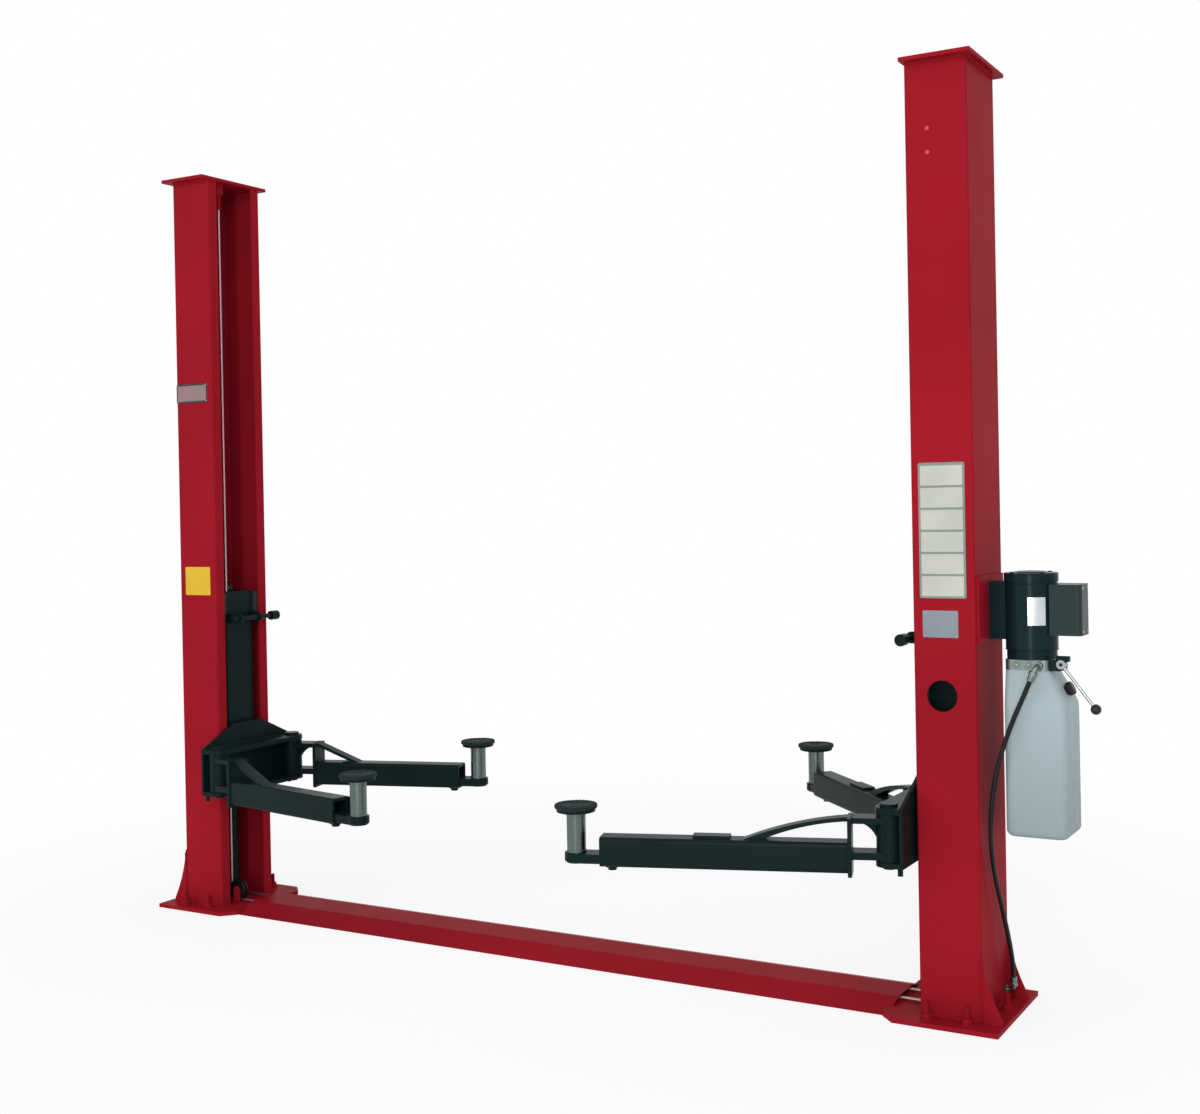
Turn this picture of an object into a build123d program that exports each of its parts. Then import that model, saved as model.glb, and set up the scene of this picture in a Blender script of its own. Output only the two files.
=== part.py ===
# Two post car lift: two columns on base plates, a low floor cover between them, a sliding
# carriage with two telescopic arms on each column, and a power unit on the right column.
# Millimetres. X runs to the column with the power unit, Y along the car, Z up. The origin is
# on the floor, midway between the columns.
import os
from math import cos, radians, sin, tan

from build123d import *

os.makedirs("parts", exist_ok=True)

# Overall
overall_height = 2824
half_clear = 1397
run_gap = 0.5

# Column: a C section whose mouth faces the other column
column_depth = 188
column_width = 278
column_wall = 6
lip_width = 45
bend_radius = 9
access_hole_radius = 46
access_hole_depth = 85
access_hole_height = 955

# Top plate
top_thickness = 12
top_outer_overhang = 21
top_inner_overhang = 4
top_side_overhang = 35
top_hole_radius = 7
top_hole_edge = 18
top_hole_spacing = 136

# Base plate, gussets and anchors
base_thickness = 14
base_outer_overhang = 68
base_inner_overhang = 105
base_side_overhang = 77
base_corner_cut = 45
gusset_height = 200
gusset_reach = 60
gusset_toe = 8
gusset_hollow = 8
anchor_radius = 8
anchor_height = 52
anchor_washer_radius = 20
anchor_washer_thickness = 4
anchor_nut_height = 14
anchor_nut_radius = 15
anchor_side_offset = 38
anchor_outer_offset = 34
anchor_inset = 34

# Floor cover and tie plate
cover_height = 30
cover_sheet = 4
cover_base_width = 330
cover_top_width = 130
cover_end_gap = 92
tie_thickness = 6
tie_width = 140

# Equalizer cables and their pulleys
cable_radius = 5
cable_offset = 44
cable_front_depth = 40
cable_back_depth = 166
cable_floor_gap = 1
pulley_radius = 36
pulley_flange = 4
pulley_width = 16
pulley_pin_radius = 8
cheek_thickness = 5
cheek_half_width = 16
cheek_gap = 1.5
terminal_radius = 9
terminal_length = 60
anchor_lug_size = 34
anchor_lug_height = 40

# Hydraulic cylinder
cylinder_depth = 90
barrel_radius = 31.5
barrel_bore = 26
barrel_top = 962
barrel_foot_radius = 34
barrel_foot_height = 16
gland_radius = 35
gland_height = 28
rod_radius = 20
rod_fit = 0.05
piston_height = 40
rod_length_below = 900
rod_travel_down = 172.5
head_clearance = 8
head_radius = 27
head_block_height = 22
fork_gap = 22
fork_plate = 8
fork_half_width = 22
wheel_radius = 30
wheel_width = 20
wheel_groove = 4
wheel_pin_radius = 9

# Carriage and crosshead
carriage_front = 20
carriage_back = 150
carriage_half_width = 75
carriage_wall = 8
carriage_bottom = 450
carriage_top = 1220
crosshead_bottom = 458
crosshead_top = 632
crosshead_lower_plate = 15
crosshead_upper_plate = 17
crosshead_web_front = 8
crosshead_web = 10
crosshead_rise = 78
pivot_reach = 63
pivot_spread = 200
pivot_end_radius = 40
pin_radius = 19
pin_fit = 0.05
pin_cap_radius = 27
pin_cap_height = 10
pin_tail = 9
stop_pin_radius = 8
stop_pin_length = 22
stop_pin_depth = 22
stop_pin_spread = 24
block_height = 80
block_inset = 6
block_front_length = 48
block_back_length = 56
block_corner = 4

# Swing arms
sleeve_radius = 38
lug_bar_half = 34
lug_bar_top = 602
lug_bar_upper = 17
lug_bar_bottom = 479
lug_bar_lower = 22
end_plate_start = 108
end_plate_thickness = 12
end_plate_half = 45
end_plate_bottom = 429
tube_bottom = 438
tube_height = 90
tube_half = 40
tube_wall = 6
tube_corner = 12
brace_thickness = 13
brace_half = 22
brace_arch = 12
rib_half = 6
rib_reach = 52
rib_drop = 42
stop_bolt_radius = 11
stop_bolt_height = 11
stop_bolt_inset = 32
rest_inset = 4
foot_thickness = 30
foot_overlap = 70
foot_end_radius = 37
short_tube = 598
short_draw = 440
short_brace = 175
long_tube = 745
long_draw = 560
long_brace = 312
long_plate_start = 350
long_plate_length = 112
long_plate_height = 9

# Lifting pads
socket_radius = 21
socket_fit = 0.05
socket_floor = 3
post_radius = 30
post_top = 598
post_gap = 0.3
dish_radius = 60
dish_height = 8
pad_radius = 66
pad_height = 16
pad_recess = 3
pad_recess_radius = 46

# Safety lock bars: each slides in two lugs on the front of its carriage
lock_drop = 104
lock_reach = 35
lock_bar_radius = 9
lock_bar_start = -80
lock_bar_end = 129
lock_bar_fit = 0.05
lock_lug_spread = 52
lock_lug_thickness = 8
lock_lug_half = 18
knob_radius = 18
knob_length = 36

# Power unit
motor_x = 1711
motor_radius = 78
motor_bottom = 1061
motor_top = 1312
motor_cap = 26
motor_neck = 3
bracket_bottom = 1108
bracket_top = 1304
unit_plate_half = 125
bracket_half = 28
bracket_thickness = 8
bracket_rib = 8
box_bottom = 1132
box_top = 1279
box_end = 1866
box_corner = 15
box_half = 50
box_inset = 14
manifold_bottom = 1031
manifold_half = 66
manifold_corner = 22
tank_centre = 1737
tank_half_x = 91
tank_half_y = 91
tank_bottom = 549
tank_shoulder = 933
tank_neck_half = 66
tank_corner = 26
tank_foot_chamfer = 14
cap_radius = 18
cap_length = 26
cap_rise = 0.38
valve_radius = 14
valve_length = 44
valve_block = 30
valve_block_half = 13
valve_stub_radius = 8.5
valve_stub_start = 16
valve_stub_length = 38
valve_stub_rise = 5
lever_x = 1812
lever_y = -46
lever_z = 1052
lever_tip_x = 1907
lever_tip_z = 928
lever_radius = 4.5
lever_hub_radius = 13
lever_hub_length = 16
lever_pin_radius = 5
lever_pin_fit = 0.05
ball_radius = 15
ball_socket = 9

# Hydraulic hose, from the power unit down the outside of the right column to its foot
hose_radius = 7
fitting_radius = 12
fitting_length = 26
hose_route = [
    (1738, -108, 1021),
    (1714, -110, 964),
    (1679, -111, 886),
    (1648, -110, 803),
    (1623, -107, 712),
    (1608, -100, 610),
    (1602, -80, 510),
    (1601, -42, 416),
    (1606, 0, 328),
    (1609, 42, 244),
    (1612, 76, 166),
    (1612, 94, 108),
    (1611, 97, 70),
]

# Worked out from the sizes above
column_top = overall_height - top_thickness
column_half = column_width / 2
mouth_half = column_half - lip_width
inner_half = column_half - column_wall
inner_depth = column_depth - column_wall
base_half = column_half + base_side_overhang
outer_face = half_clear + column_depth
cable_height = base_thickness + cable_floor_gap + cable_radius
pulley_height = cable_height + pulley_radius
tube_start = end_plate_start + end_plate_thickness
tube_top = tube_bottom + tube_height
inner_tube_bottom = tube_bottom + tube_wall + run_gap
inner_tube_height = tube_height - 2 * tube_wall - 2 * run_gap
inner_tube_half = tube_half - tube_wall - run_gap
foot_top = inner_tube_bottom + foot_thickness
head_bottom = barrel_top + gland_height + rod_travel_down + head_clearance
lock_height = carriage_top - lock_drop


def column_plane(side, height=0.0):
    """A level plane at the mouth of a column: local x runs to the lift's middle."""
    return Plane(origin=(side * half_clear, 0, height), x_dir=(-side, 0, 0), z_dir=(0, 0, 1))


def upright(side, along):
    """A plane square to the lift's length, at a distance along from the column's mouth."""
    return Plane(origin=(side * (half_clear - along), 0, 0), x_dir=(0, -side, 0), z_dir=(-side, 0, 0))


def flank(side, across):
    """A plane along the lift's length, at a distance across from the column's middle."""
    return Plane(origin=(side * half_clear, -side * across, 0), x_dir=(-side, 0, 0), z_dir=(0, side, 0))


def arm_plane(arm, height=0.0):
    """A level plane at an arm's pivot, whose local x runs along the arm."""
    side, hand, splay = arm["side"], arm["hand"], radians(arm["splay"])
    origin = (side * (half_clear - pivot_reach), -side * hand * pivot_spread, height)
    direction = (-side * cos(splay), -side * hand * sin(splay), 0)
    return Plane(origin=origin, x_dir=direction, z_dir=(0, 0, 1))


def arm_flank(arm, across=0.0):
    """An upright plane along an arm, at a distance across from its middle."""
    level = arm_plane(arm)
    return Plane(origin=level.from_local_coords((0, across, 0)), x_dir=level.x_dir, z_dir=-level.y_dir)


def arm_section(arm, along, height):
    """A plane square to an arm, at a distance along it from its pivot."""
    level = arm_plane(arm, height)
    return Plane(origin=level.from_local_coords((along, 0, 0)), x_dir=level.y_dir, z_dir=level.x_dir)


def save(piece, label):
    piece.part.label = label
    export_step(piece.part, f"parts/{label}.step")


sides = {"left": -1, "right": 1}

# Each arm: the column it hangs on, the hand of its pivot, how far it stands from straight
# across, the length of its outer tube, its brace, its inner tube, and how far beyond the
# outer tube its pad stands
arms = {
    "left_front": {"side": -1, "hand": -1, "splay": 10.6, "tube": short_tube, "draw": short_draw,
                   "brace": short_brace, "stand_off": 92},
    "left_rear": {"side": -1, "hand": 1, "splay": 16.5, "tube": short_tube, "draw": short_draw,
                  "brace": short_brace, "stand_off": 68},
    "right_front": {"side": 1, "hand": 1, "splay": 18.3, "tube": long_tube, "draw": long_draw,
                    "brace": long_brace, "stand_off": 79},
    "right_rear": {"side": 1, "hand": -1, "splay": 44.0, "tube": long_tube, "draw": long_draw,
                   "brace": long_brace, "stand_off": 65},
}

# Columns; the right one has an access hole in its front flange
for name, side in sides.items():
    with BuildPart() as column:
        with BuildSketch(column_plane(side, base_thickness)):
            with Locations((-column_depth / 2, 0)):
                RectangleRounded(column_depth, column_width, bend_radius)
                RectangleRounded(column_depth - 2 * column_wall, column_width - 2 * column_wall,
                                 bend_radius - column_wall, mode=Mode.SUBTRACT)
            with Locations((0, 0)):
                Rectangle(4 * column_wall, 2 * mouth_half, mode=Mode.SUBTRACT)
        extrude(amount=column_top - base_thickness)
        if name == "right":
            with BuildSketch(flank(side, column_half + column_wall)):
                with Locations((-access_hole_depth, access_hole_height)):
                    Circle(access_hole_radius)
            extrude(amount=3 * column_wall, mode=Mode.SUBTRACT)
    save(column, f"column_{name}")

# Top plates with their four holes
with BuildPart() as top_plates:
    plate_length = column_depth + top_outer_overhang + top_inner_overhang
    plate_width = column_width + 2 * top_side_overhang
    plate_middle = -(column_depth + top_outer_overhang - top_inner_overhang) / 2
    hole_middle = -column_depth / 2
    for side in sides.values():
        with BuildSketch(column_plane(side, column_top)):
            with Locations((plate_middle, 0)):
                Rectangle(plate_length, plate_width)
            with Locations((hole_middle, 0)):
                with GridLocations(top_hole_spacing, plate_width - 2 * top_hole_edge, 2, 2):
                    Circle(top_hole_radius, mode=Mode.SUBTRACT)
        extrude(amount=top_thickness)
save(top_plates, "top_plates")

# Base plates with cut inner corners, anchor holes and the two foot gussets of each column
anchor_side = column_half + anchor_side_offset
anchor_places = [
    (-anchor_inset, anchor_side),
    (-anchor_inset, -anchor_side),
    (-column_depth + anchor_inset, anchor_side),
    (-column_depth + anchor_inset, -anchor_side),
    (-column_depth - anchor_outer_offset, 0),
]
with BuildPart() as base_plates:
    outer_end = -column_depth - base_outer_overhang
    cut_start = base_inner_overhang - base_corner_cut
    cut_width = base_half - base_corner_cut
    for side in sides.values():
        with BuildSketch(column_plane(side)):
            with BuildLine():
                Polyline((outer_end, -base_half), (cut_start, -base_half), (base_inner_overhang, -cut_width),
                         (base_inner_overhang, cut_width), (cut_start, base_half), (outer_end, base_half),
                         close=True)
            make_face()
            with Locations(*anchor_places):
                Circle(anchor_radius + run_gap, mode=Mode.SUBTRACT)
        extrude(amount=base_thickness)
        for hand in (-1, 1):
            with BuildSketch(flank(side, hand * (column_half - column_wall / 2))):
                toe = (-column_depth - gusset_reach, base_thickness)
                toe_top = (toe[0], base_thickness + gusset_toe)
                head = (-column_depth, base_thickness + gusset_height)
                middle = ((toe_top[0] + head[0]) / 2 + gusset_hollow,
                          (toe_top[1] + head[1]) / 2 - gusset_hollow)
                with BuildLine():
                    Polyline(head, (-column_depth, base_thickness), toe, toe_top)
                    ThreePointArc(toe_top, middle, head)
                make_face()
            extrude(amount=column_wall / 2, both=True)
save(base_plates, "base_plates")

# Anchor bolts: a stud with a washer and a nut in each hole of the base plates
with BuildPart() as anchor_bolts:
    for side in sides.values():
        with BuildSketch(column_plane(side)):
            with Locations(*anchor_places):
                Circle(anchor_radius)
        extrude(amount=base_thickness + anchor_height)
        with BuildSketch(column_plane(side, base_thickness)):
            with Locations(*anchor_places):
                Circle(anchor_washer_radius)
        extrude(amount=anchor_washer_thickness)
        with BuildSketch(column_plane(side, base_thickness + anchor_washer_thickness)):
            with Locations(*anchor_places):
                RegularPolygon(anchor_nut_radius, 6)
        extrude(amount=anchor_nut_height)
save(anchor_bolts, "anchor_bolts")

# Tie plate on the floor between the two base plates
with BuildPart() as tie_plate:
    with BuildSketch():
        Rectangle(2 * (half_clear - base_inner_overhang), tie_width)
    extrude(amount=tie_thickness)
save(tie_plate, "tie_plate")

# Floor cover: a folded sheet with sloping sides over the tie plate and the cables
cover_length = 2 * (half_clear - cover_end_gap)
cover_slope = (cover_base_width - cover_top_width) / 2 / cover_height
cover_side_sheet = cover_sheet * (cover_slope + (1 + cover_slope ** 2) ** 0.5)
with BuildPart() as floor_cover:
    with BuildSketch(Plane.YZ):
        base_half_width = cover_base_width / 2
        top_half_width = cover_top_width / 2
        with BuildLine():
            Polyline((-base_half_width, 0), (base_half_width, 0), (top_half_width, cover_height),
                     (-top_half_width, cover_height), close=True)
        make_face()
        inner_height = cover_height - cover_sheet
        inner_base = base_half_width - cover_side_sheet + cover_sheet * cover_slope
        inner_top = inner_base - inner_height * cover_slope
        with BuildLine():
            Polyline((-inner_base, 0), (inner_base, 0), (inner_top, inner_height), (-inner_top, inner_height),
                     close=True)
        make_face(mode=Mode.SUBTRACT)
    extrude(amount=cover_length / 2, both=True)
    for side in sides.values():
        with BuildSketch(column_plane(side)):
            with Locations((base_inner_overhang / 2 + run_gap, 0)):
                Rectangle(base_inner_overhang, 2 * base_half)
        extrude(amount=base_thickness + run_gap, mode=Mode.SUBTRACT)
save(floor_cover, "floor_cover")

# Equalizer cables: each runs down one column near its mouth, round a base pulley, across
# under the cover, round the far pulley and up the back of the other column
cable_top = column_top - anchor_lug_height
with BuildPart() as equalizer_cables:
    for side in sides.values():
        near_x = side * (half_clear + cable_front_depth)
        far_x = -side * (half_clear + cable_back_depth)
        y = side * cable_offset
        with BuildLine() as cable_path:
            FilletPolyline((near_x, y, cable_top), (near_x, y, cable_height), (far_x, y, cable_height),
                           (far_x, y, cable_top), radius=pulley_radius)
        with BuildSketch(Plane(origin=(near_x, y, cable_top), z_dir=(0, 0, -1))):
            Circle(cable_radius)
        sweep(path=cable_path.wire())
save(equalizer_cables, "equalizer_cables")

# Where each column's two cable runs stand: depth behind the mouth, offset across, and the
# way from the run to its base pulley
cable_runs = [(-cable_front_depth, -cable_offset), (-cable_back_depth, cable_offset)]

# Cable terminals: a swaged end on each run, hung in a lug under the top plate
with BuildPart() as cable_terminals:
    for side in sides.values():
        for run in cable_runs:
            with BuildSketch(column_plane(side, column_top)):
                with Locations(run):
                    RectangleRounded(anchor_lug_size * 0.6, anchor_lug_size, 3)
            extrude(amount=-anchor_lug_height)
            with BuildSketch(column_plane(side, cable_top)):
                with Locations(run):
                    Circle(terminal_radius)
                    Circle(cable_radius, mode=Mode.SUBTRACT)
            extrude(amount=-terminal_length)
save(cable_terminals, "cable_terminals")

# Base pulleys: grooved wheels that turn the cables from the columns to the floor
groove = cable_radius + run_gap
groove_floor = pulley_radius - groove
pulley_rim = pulley_radius + pulley_flange
with BuildPart() as base_pulleys:
    for side in sides.values():
        for depth, across in cable_runs:
            middle = flank(side, across).from_local_coords((depth + pulley_radius, pulley_height, 0))
            with BuildSketch(Plane(origin=middle, x_dir=(0, 1, 0), z_dir=(1, 0, 0))):
                with BuildLine():
                    half = pulley_width / 2
                    Polyline((-half, pulley_pin_radius + run_gap), (half, pulley_pin_radius + run_gap),
                             (half, pulley_rim), (groove, pulley_rim), (groove, groove_floor),
                             (-groove, groove_floor), (-groove, pulley_rim), (-half, pulley_rim), close=True)
                make_face()
            revolve(axis=Axis(middle, (0, 1, 0)))
save(base_pulleys, "base_pulleys")

# Pulley brackets: two cheeks and a pin for each base pulley, on the base plates
with BuildPart() as pulley_brackets:
    for side in sides.values():
        for depth, across in cable_runs:
            for hand in (-1, 1):
                cheek = across + hand * (pulley_width / 2 + cheek_gap + cheek_thickness / 2)
                with BuildSketch(flank(side, cheek)):
                    with Locations((depth + pulley_radius, (base_thickness + pulley_height) / 2)):
                        Rectangle(2 * cheek_half_width, pulley_height - base_thickness)
                    with Locations((depth + pulley_radius, pulley_height)):
                        Circle(cheek_half_width)
                extrude(amount=cheek_thickness / 2, both=True)
            with BuildSketch(flank(side, across)):
                with Locations((depth + pulley_radius, pulley_height)):
                    Circle(pulley_pin_radius)
            extrude(amount=pulley_width / 2 + cheek_gap + cheek_thickness, both=True)
save(pulley_brackets, "pulley_brackets")

# Cylinder barrels: a tube on a foot, with a gland round the rod
gland_top = barrel_top + gland_height
with BuildPart() as cylinder_barrels:
    for side in sides.values():
        centre = (-cylinder_depth, 0)
        with BuildSketch(column_plane(side, base_thickness)):
            with Locations(centre):
                Circle(barrel_foot_radius)
        extrude(amount=barrel_foot_height)
        with BuildSketch(column_plane(side, base_thickness + barrel_foot_height)):
            with Locations(centre):
                Circle(barrel_radius)
                Circle(barrel_bore, mode=Mode.SUBTRACT)
        extrude(amount=barrel_top - base_thickness - barrel_foot_height)
        with BuildSketch(column_plane(side, barrel_top)):
            with Locations(centre):
                Circle(gland_radius)
                Circle(rod_radius + rod_fit, mode=Mode.SUBTRACT)
        extrude(amount=gland_height)
save(cylinder_barrels, "cylinder_barrels")

# Cylinder rods: a piston, the rod, and a fork that carries the chain wheel
piston_bottom = head_bottom - rod_length_below
head_top = head_bottom + head_block_height
wheel_height = head_top + wheel_radius + wheel_groove
for name, side in sides.items():
    with BuildPart() as rod:
        for low, high, radius in (
            (piston_bottom, piston_bottom + piston_height, barrel_bore - rod_fit),
            (piston_bottom, head_bottom, rod_radius),
            (head_bottom, head_top, head_radius),
        ):
            with BuildSketch(column_plane(side, low)):
                with Locations((-cylinder_depth, 0)):
                    Circle(radius)
            extrude(amount=high - low)
        for hand in (-1, 1):
            with BuildSketch(flank(side, hand * (fork_gap + fork_plate) / 2)):
                with Locations((-cylinder_depth, (head_top + wheel_height) / 2)):
                    Rectangle(2 * fork_half_width, wheel_height - head_top)
                with Locations((-cylinder_depth, wheel_height)):
                    Circle(fork_half_width)
            extrude(amount=fork_plate / 2, both=True)
        with BuildSketch(flank(side, 0)):
            with Locations((-cylinder_depth, wheel_height)):
                Circle(wheel_pin_radius)
        extrude(amount=fork_gap / 2 + fork_plate, both=True)
    save(rod, f"cylinder_rod_{name}")

    with BuildPart() as wheel:
        middle = flank(side, 0).from_local_coords((-cylinder_depth, wheel_height, 0))
        with BuildSketch(Plane(origin=middle, x_dir=(0, 1, 0), z_dir=(1, 0, 0))):
            with BuildLine():
                half = wheel_width / 2
                chain_seat = wheel_radius - wheel_groove
                Polyline((-half, wheel_pin_radius + run_gap), (half, wheel_pin_radius + run_gap),
                         (half, wheel_radius), (half / 2, wheel_radius), (half / 2, chain_seat),
                         (-half / 2, chain_seat), (-half / 2, wheel_radius), (-half, wheel_radius),
                         close=True)
            make_face()
        revolve(axis=Axis(middle, (0, 1, 0)))
    save(wheel, f"chain_wheel_{name}")

# Carriages: a tall box in the column, and outside its mouth a crosshead of two plates on a web
carriage_length = carriage_back - carriage_front
crosshead_front = pivot_reach + pivot_end_radius
for name, side in sides.items():
    with BuildPart() as carriage:
        with BuildSketch(column_plane(side, carriage_bottom)):
            with Locations((-(carriage_front + carriage_back) / 2, 0)):
                RectangleRounded(carriage_length, 2 * carriage_half_width, carriage_wall)
                Rectangle(carriage_length - 2 * carriage_wall, 2 * (carriage_half_width - carriage_wall),
                          mode=Mode.SUBTRACT)
        extrude(amount=carriage_top - carriage_bottom)
        with BuildSketch(upright(side, crosshead_web_front)):
            with BuildLine():
                wing = pivot_spread + pivot_end_radius
                Polyline((-wing, crosshead_bottom), (wing, crosshead_bottom), (wing, crosshead_top),
                         (carriage_half_width, crosshead_top + crosshead_rise),
                         (-carriage_half_width, crosshead_top + crosshead_rise), (-wing, crosshead_top),
                         close=True)
            make_face()
        extrude(amount=crosshead_web)
        for hand in (-1, 1):
            with BuildSketch(upright(side, -carriage_front - carriage_wall)):
                with Locations((hand * (carriage_half_width - carriage_wall / 2),
                                (crosshead_bottom + crosshead_top + crosshead_rise) / 2)):
                    Rectangle(carriage_wall, crosshead_top + crosshead_rise - crosshead_bottom)
            extrude(amount=carriage_front + carriage_wall + crosshead_web_front)
        for low, thickness in ((crosshead_bottom, crosshead_lower_plate),
                               (crosshead_top - crosshead_upper_plate, crosshead_upper_plate)):
            with BuildSketch(column_plane(side, low)):
                with Locations(((crosshead_web_front + pivot_reach) / 2, 0)):
                    Rectangle(pivot_reach - crosshead_web_front, 2 * (pivot_spread + pivot_end_radius))
                with Locations(((pivot_reach + crosshead_front) / 2, 0)):
                    Rectangle(pivot_end_radius, 2 * pivot_spread)
                with Locations((pivot_reach, pivot_spread), (pivot_reach, -pivot_spread)):
                    Circle(pivot_end_radius)
                with Locations((pivot_reach, pivot_spread), (pivot_reach, -pivot_spread)):
                    Circle(pin_radius, mode=Mode.SUBTRACT)
            extrude(amount=thickness)
        with BuildSketch(column_plane(side, crosshead_bottom)):
            with Locations((stop_pin_depth, pivot_spread + stop_pin_spread),
                           (stop_pin_depth, -pivot_spread - stop_pin_spread)):
                Circle(stop_pin_radius)
        extrude(amount=-stop_pin_length)
        for hand in (-1, 1):
            with BuildSketch(flank(side, hand * lock_lug_spread)):
                with Locations(((lock_reach - carriage_front - carriage_wall) / 2, lock_height)):
                    Rectangle(lock_reach + carriage_front + carriage_wall, 2 * lock_lug_half)
                with Locations((lock_reach, lock_height)):
                    Circle(lock_lug_half)
            extrude(amount=lock_lug_thickness / 2, both=True)
        with BuildSketch(flank(side, 0)):
            with Locations((-(carriage_front + carriage_back) / 2, lock_height)):
                Rectangle(carriage_length - 2 * carriage_wall, 2 * lock_lug_half)
        extrude(amount=carriage_half_width - carriage_wall, both=True, mode=Mode.SUBTRACT)
        with BuildSketch(flank(side, 0)):
            with Locations((lock_reach, lock_height)):
                Circle(lock_bar_radius + lock_bar_fit)
        extrude(amount=carriage_half_width, both=True, mode=Mode.SUBTRACT)
    save(carriage, f"carriage_{name}")

    with BuildPart() as pins:
        places = [(pivot_reach, pivot_spread), (pivot_reach, -pivot_spread)]
        for low, high, radius in (
            (crosshead_bottom - pin_tail, crosshead_top, pin_radius),
            (crosshead_top, crosshead_top + pin_cap_height, pin_cap_radius),
        ):
            with BuildSketch(column_plane(side, low)):
                with Locations(*places):
                    Circle(radius)
            extrude(amount=high - low)
    save(pins, f"pivot_pins_{name}")

    with BuildPart() as blocks:
        block_width = inner_half - run_gap - carriage_half_width
        front_start = column_wall + run_gap
        back_end = inner_depth - run_gap
        for low in (carriage_bottom + block_inset, carriage_top - block_inset - block_height):
            with BuildSketch(column_plane(side, low)):
                for hand in (-1, 1):
                    across = hand * (carriage_half_width + block_width / 2)
                    with Locations((-(front_start + block_front_length / 2), across)):
                        RectangleRounded(block_front_length, block_width, block_corner)
                    with Locations((-(back_end - block_back_length / 2), across)):
                        RectangleRounded(block_back_length, block_width, block_corner)
            extrude(amount=block_height)
    save(blocks, f"slide_blocks_{name}")

# Swing arms: the outer tube with its pivot sleeve, the inner tube with its foot, and the pad
for name, arm in arms.items():
    tube_end = tube_start + arm["tube"]
    reach = tube_end + arm["stand_off"]
    with BuildPart() as outer:
        sleeve_bottom = crosshead_bottom + crosshead_lower_plate + run_gap
        sleeve_top = crosshead_top - crosshead_upper_plate - run_gap
        with BuildSketch(arm_plane(arm, sleeve_bottom)):
            Circle(sleeve_radius)
        extrude(amount=sleeve_top - sleeve_bottom)
        for low, thickness in ((lug_bar_bottom, lug_bar_lower), (lug_bar_top - lug_bar_upper, lug_bar_upper)):
            with BuildSketch(arm_plane(arm, low)):
                with Locations((end_plate_start / 2, 0)):
                    Rectangle(end_plate_start, 2 * lug_bar_half)
            extrude(amount=thickness)
        with BuildSketch(arm_flank(arm)):
            with BuildLine():
                rib_top = lug_bar_top - lug_bar_upper
                rib_foot = (sleeve_radius, rib_top - rib_drop)
                rib_tip = (sleeve_radius + rib_reach, rib_top)
                rib_middle = (sleeve_radius + 0.38 * rib_reach, rib_top - 0.38 * rib_drop)
                ThreePointArc(rib_foot, rib_middle, rib_tip)
                Polyline(rib_tip, (pin_radius, rib_top), (pin_radius, rib_foot[1]), rib_foot)
            make_face()
        extrude(amount=rib_half, both=True)
        with BuildSketch(arm_plane(arm, sleeve_bottom)):
            Circle(pin_radius + pin_fit)
        extrude(amount=sleeve_top - sleeve_bottom, mode=Mode.SUBTRACT)
        with BuildSketch(arm_plane(arm, end_plate_bottom)):
            with Locations((end_plate_start + end_plate_thickness / 2, 0)):
                Rectangle(end_plate_thickness, 2 * end_plate_half)
        extrude(amount=lug_bar_top - end_plate_bottom)
        with BuildSketch(arm_section(arm, tube_start, tube_bottom + tube_height / 2)):
            RectangleRounded(2 * tube_half, tube_height, tube_corner)
            RectangleRounded(2 * (tube_half - tube_wall), tube_height - 2 * tube_wall,
                             tube_corner - tube_wall, mode=Mode.SUBTRACT)
        extrude(amount=arm["tube"])
        with BuildSketch(arm_flank(arm)):
            with BuildLine():
                brace_end = tube_start + arm["brace"]
                slope = (lug_bar_top - tube_top) / arm["brace"]
                run = brace_thickness / slope
                upper = ((tube_start, lug_bar_top), (brace_end, tube_top))
                lower = ((tube_start, lug_bar_top - brace_thickness), (brace_end - run, tube_top))
                for start, end in (upper, lower):
                    if arm["tube"] == long_tube:
                        crest = ((start[0] + end[0]) / 2, (start[1] + end[1]) / 2 + brace_arch)
                        ThreePointArc(start, crest, end)
                    else:
                        Line(start, end)
                Line(upper[0], lower[0])
                Line(upper[1], lower[1])
            make_face()
        extrude(amount=brace_half, both=True)
        if arm["tube"] == long_tube:
            with BuildSketch(arm_plane(arm, tube_top)):
                with Locations((tube_start + long_plate_start + long_plate_length / 2, 0)):
                    Rectangle(long_plate_length, 2 * brace_half)
            extrude(amount=long_plate_height)
        with BuildSketch(arm_plane(arm, tube_bottom)):
            with Locations((tube_end - stop_bolt_inset, 0)):
                RegularPolygon(stop_bolt_radius, 6)
        extrude(amount=-stop_bolt_height)
    save(outer, f"arm_outer_{name}")

    with BuildPart() as inner:
        inner_end = tube_end - rest_inset
        inner_start = inner_end - arm["draw"]
        foot_start = inner_end - foot_overlap
        with BuildSketch(arm_plane(arm, inner_tube_bottom)):
            with Locations(((foot_start + reach) / 2, 0)):
                Rectangle(reach - foot_start, 2 * inner_tube_half)
            with Locations((reach, 0)):
                Circle(foot_end_radius)
        extrude(amount=foot_thickness)
        chamfer(inner.faces().sort_by(Axis.Z)[0].edges(), length=tube_corner - tube_wall)
        with BuildSketch(arm_section(arm, inner_start, inner_tube_bottom + inner_tube_height / 2)):
            RectangleRounded(2 * inner_tube_half, inner_tube_height, tube_corner)
            RectangleRounded(2 * (inner_tube_half - tube_wall), inner_tube_height - 2 * tube_wall,
                             tube_corner - tube_wall, mode=Mode.SUBTRACT)
        extrude(amount=arm["draw"])
        with BuildSketch(arm_plane(arm, inner_tube_bottom + socket_floor)):
            with Locations((reach, 0)):
                Circle(socket_radius)
        extrude(amount=foot_thickness, mode=Mode.SUBTRACT)
    save(inner, f"arm_inner_{name}")

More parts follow.
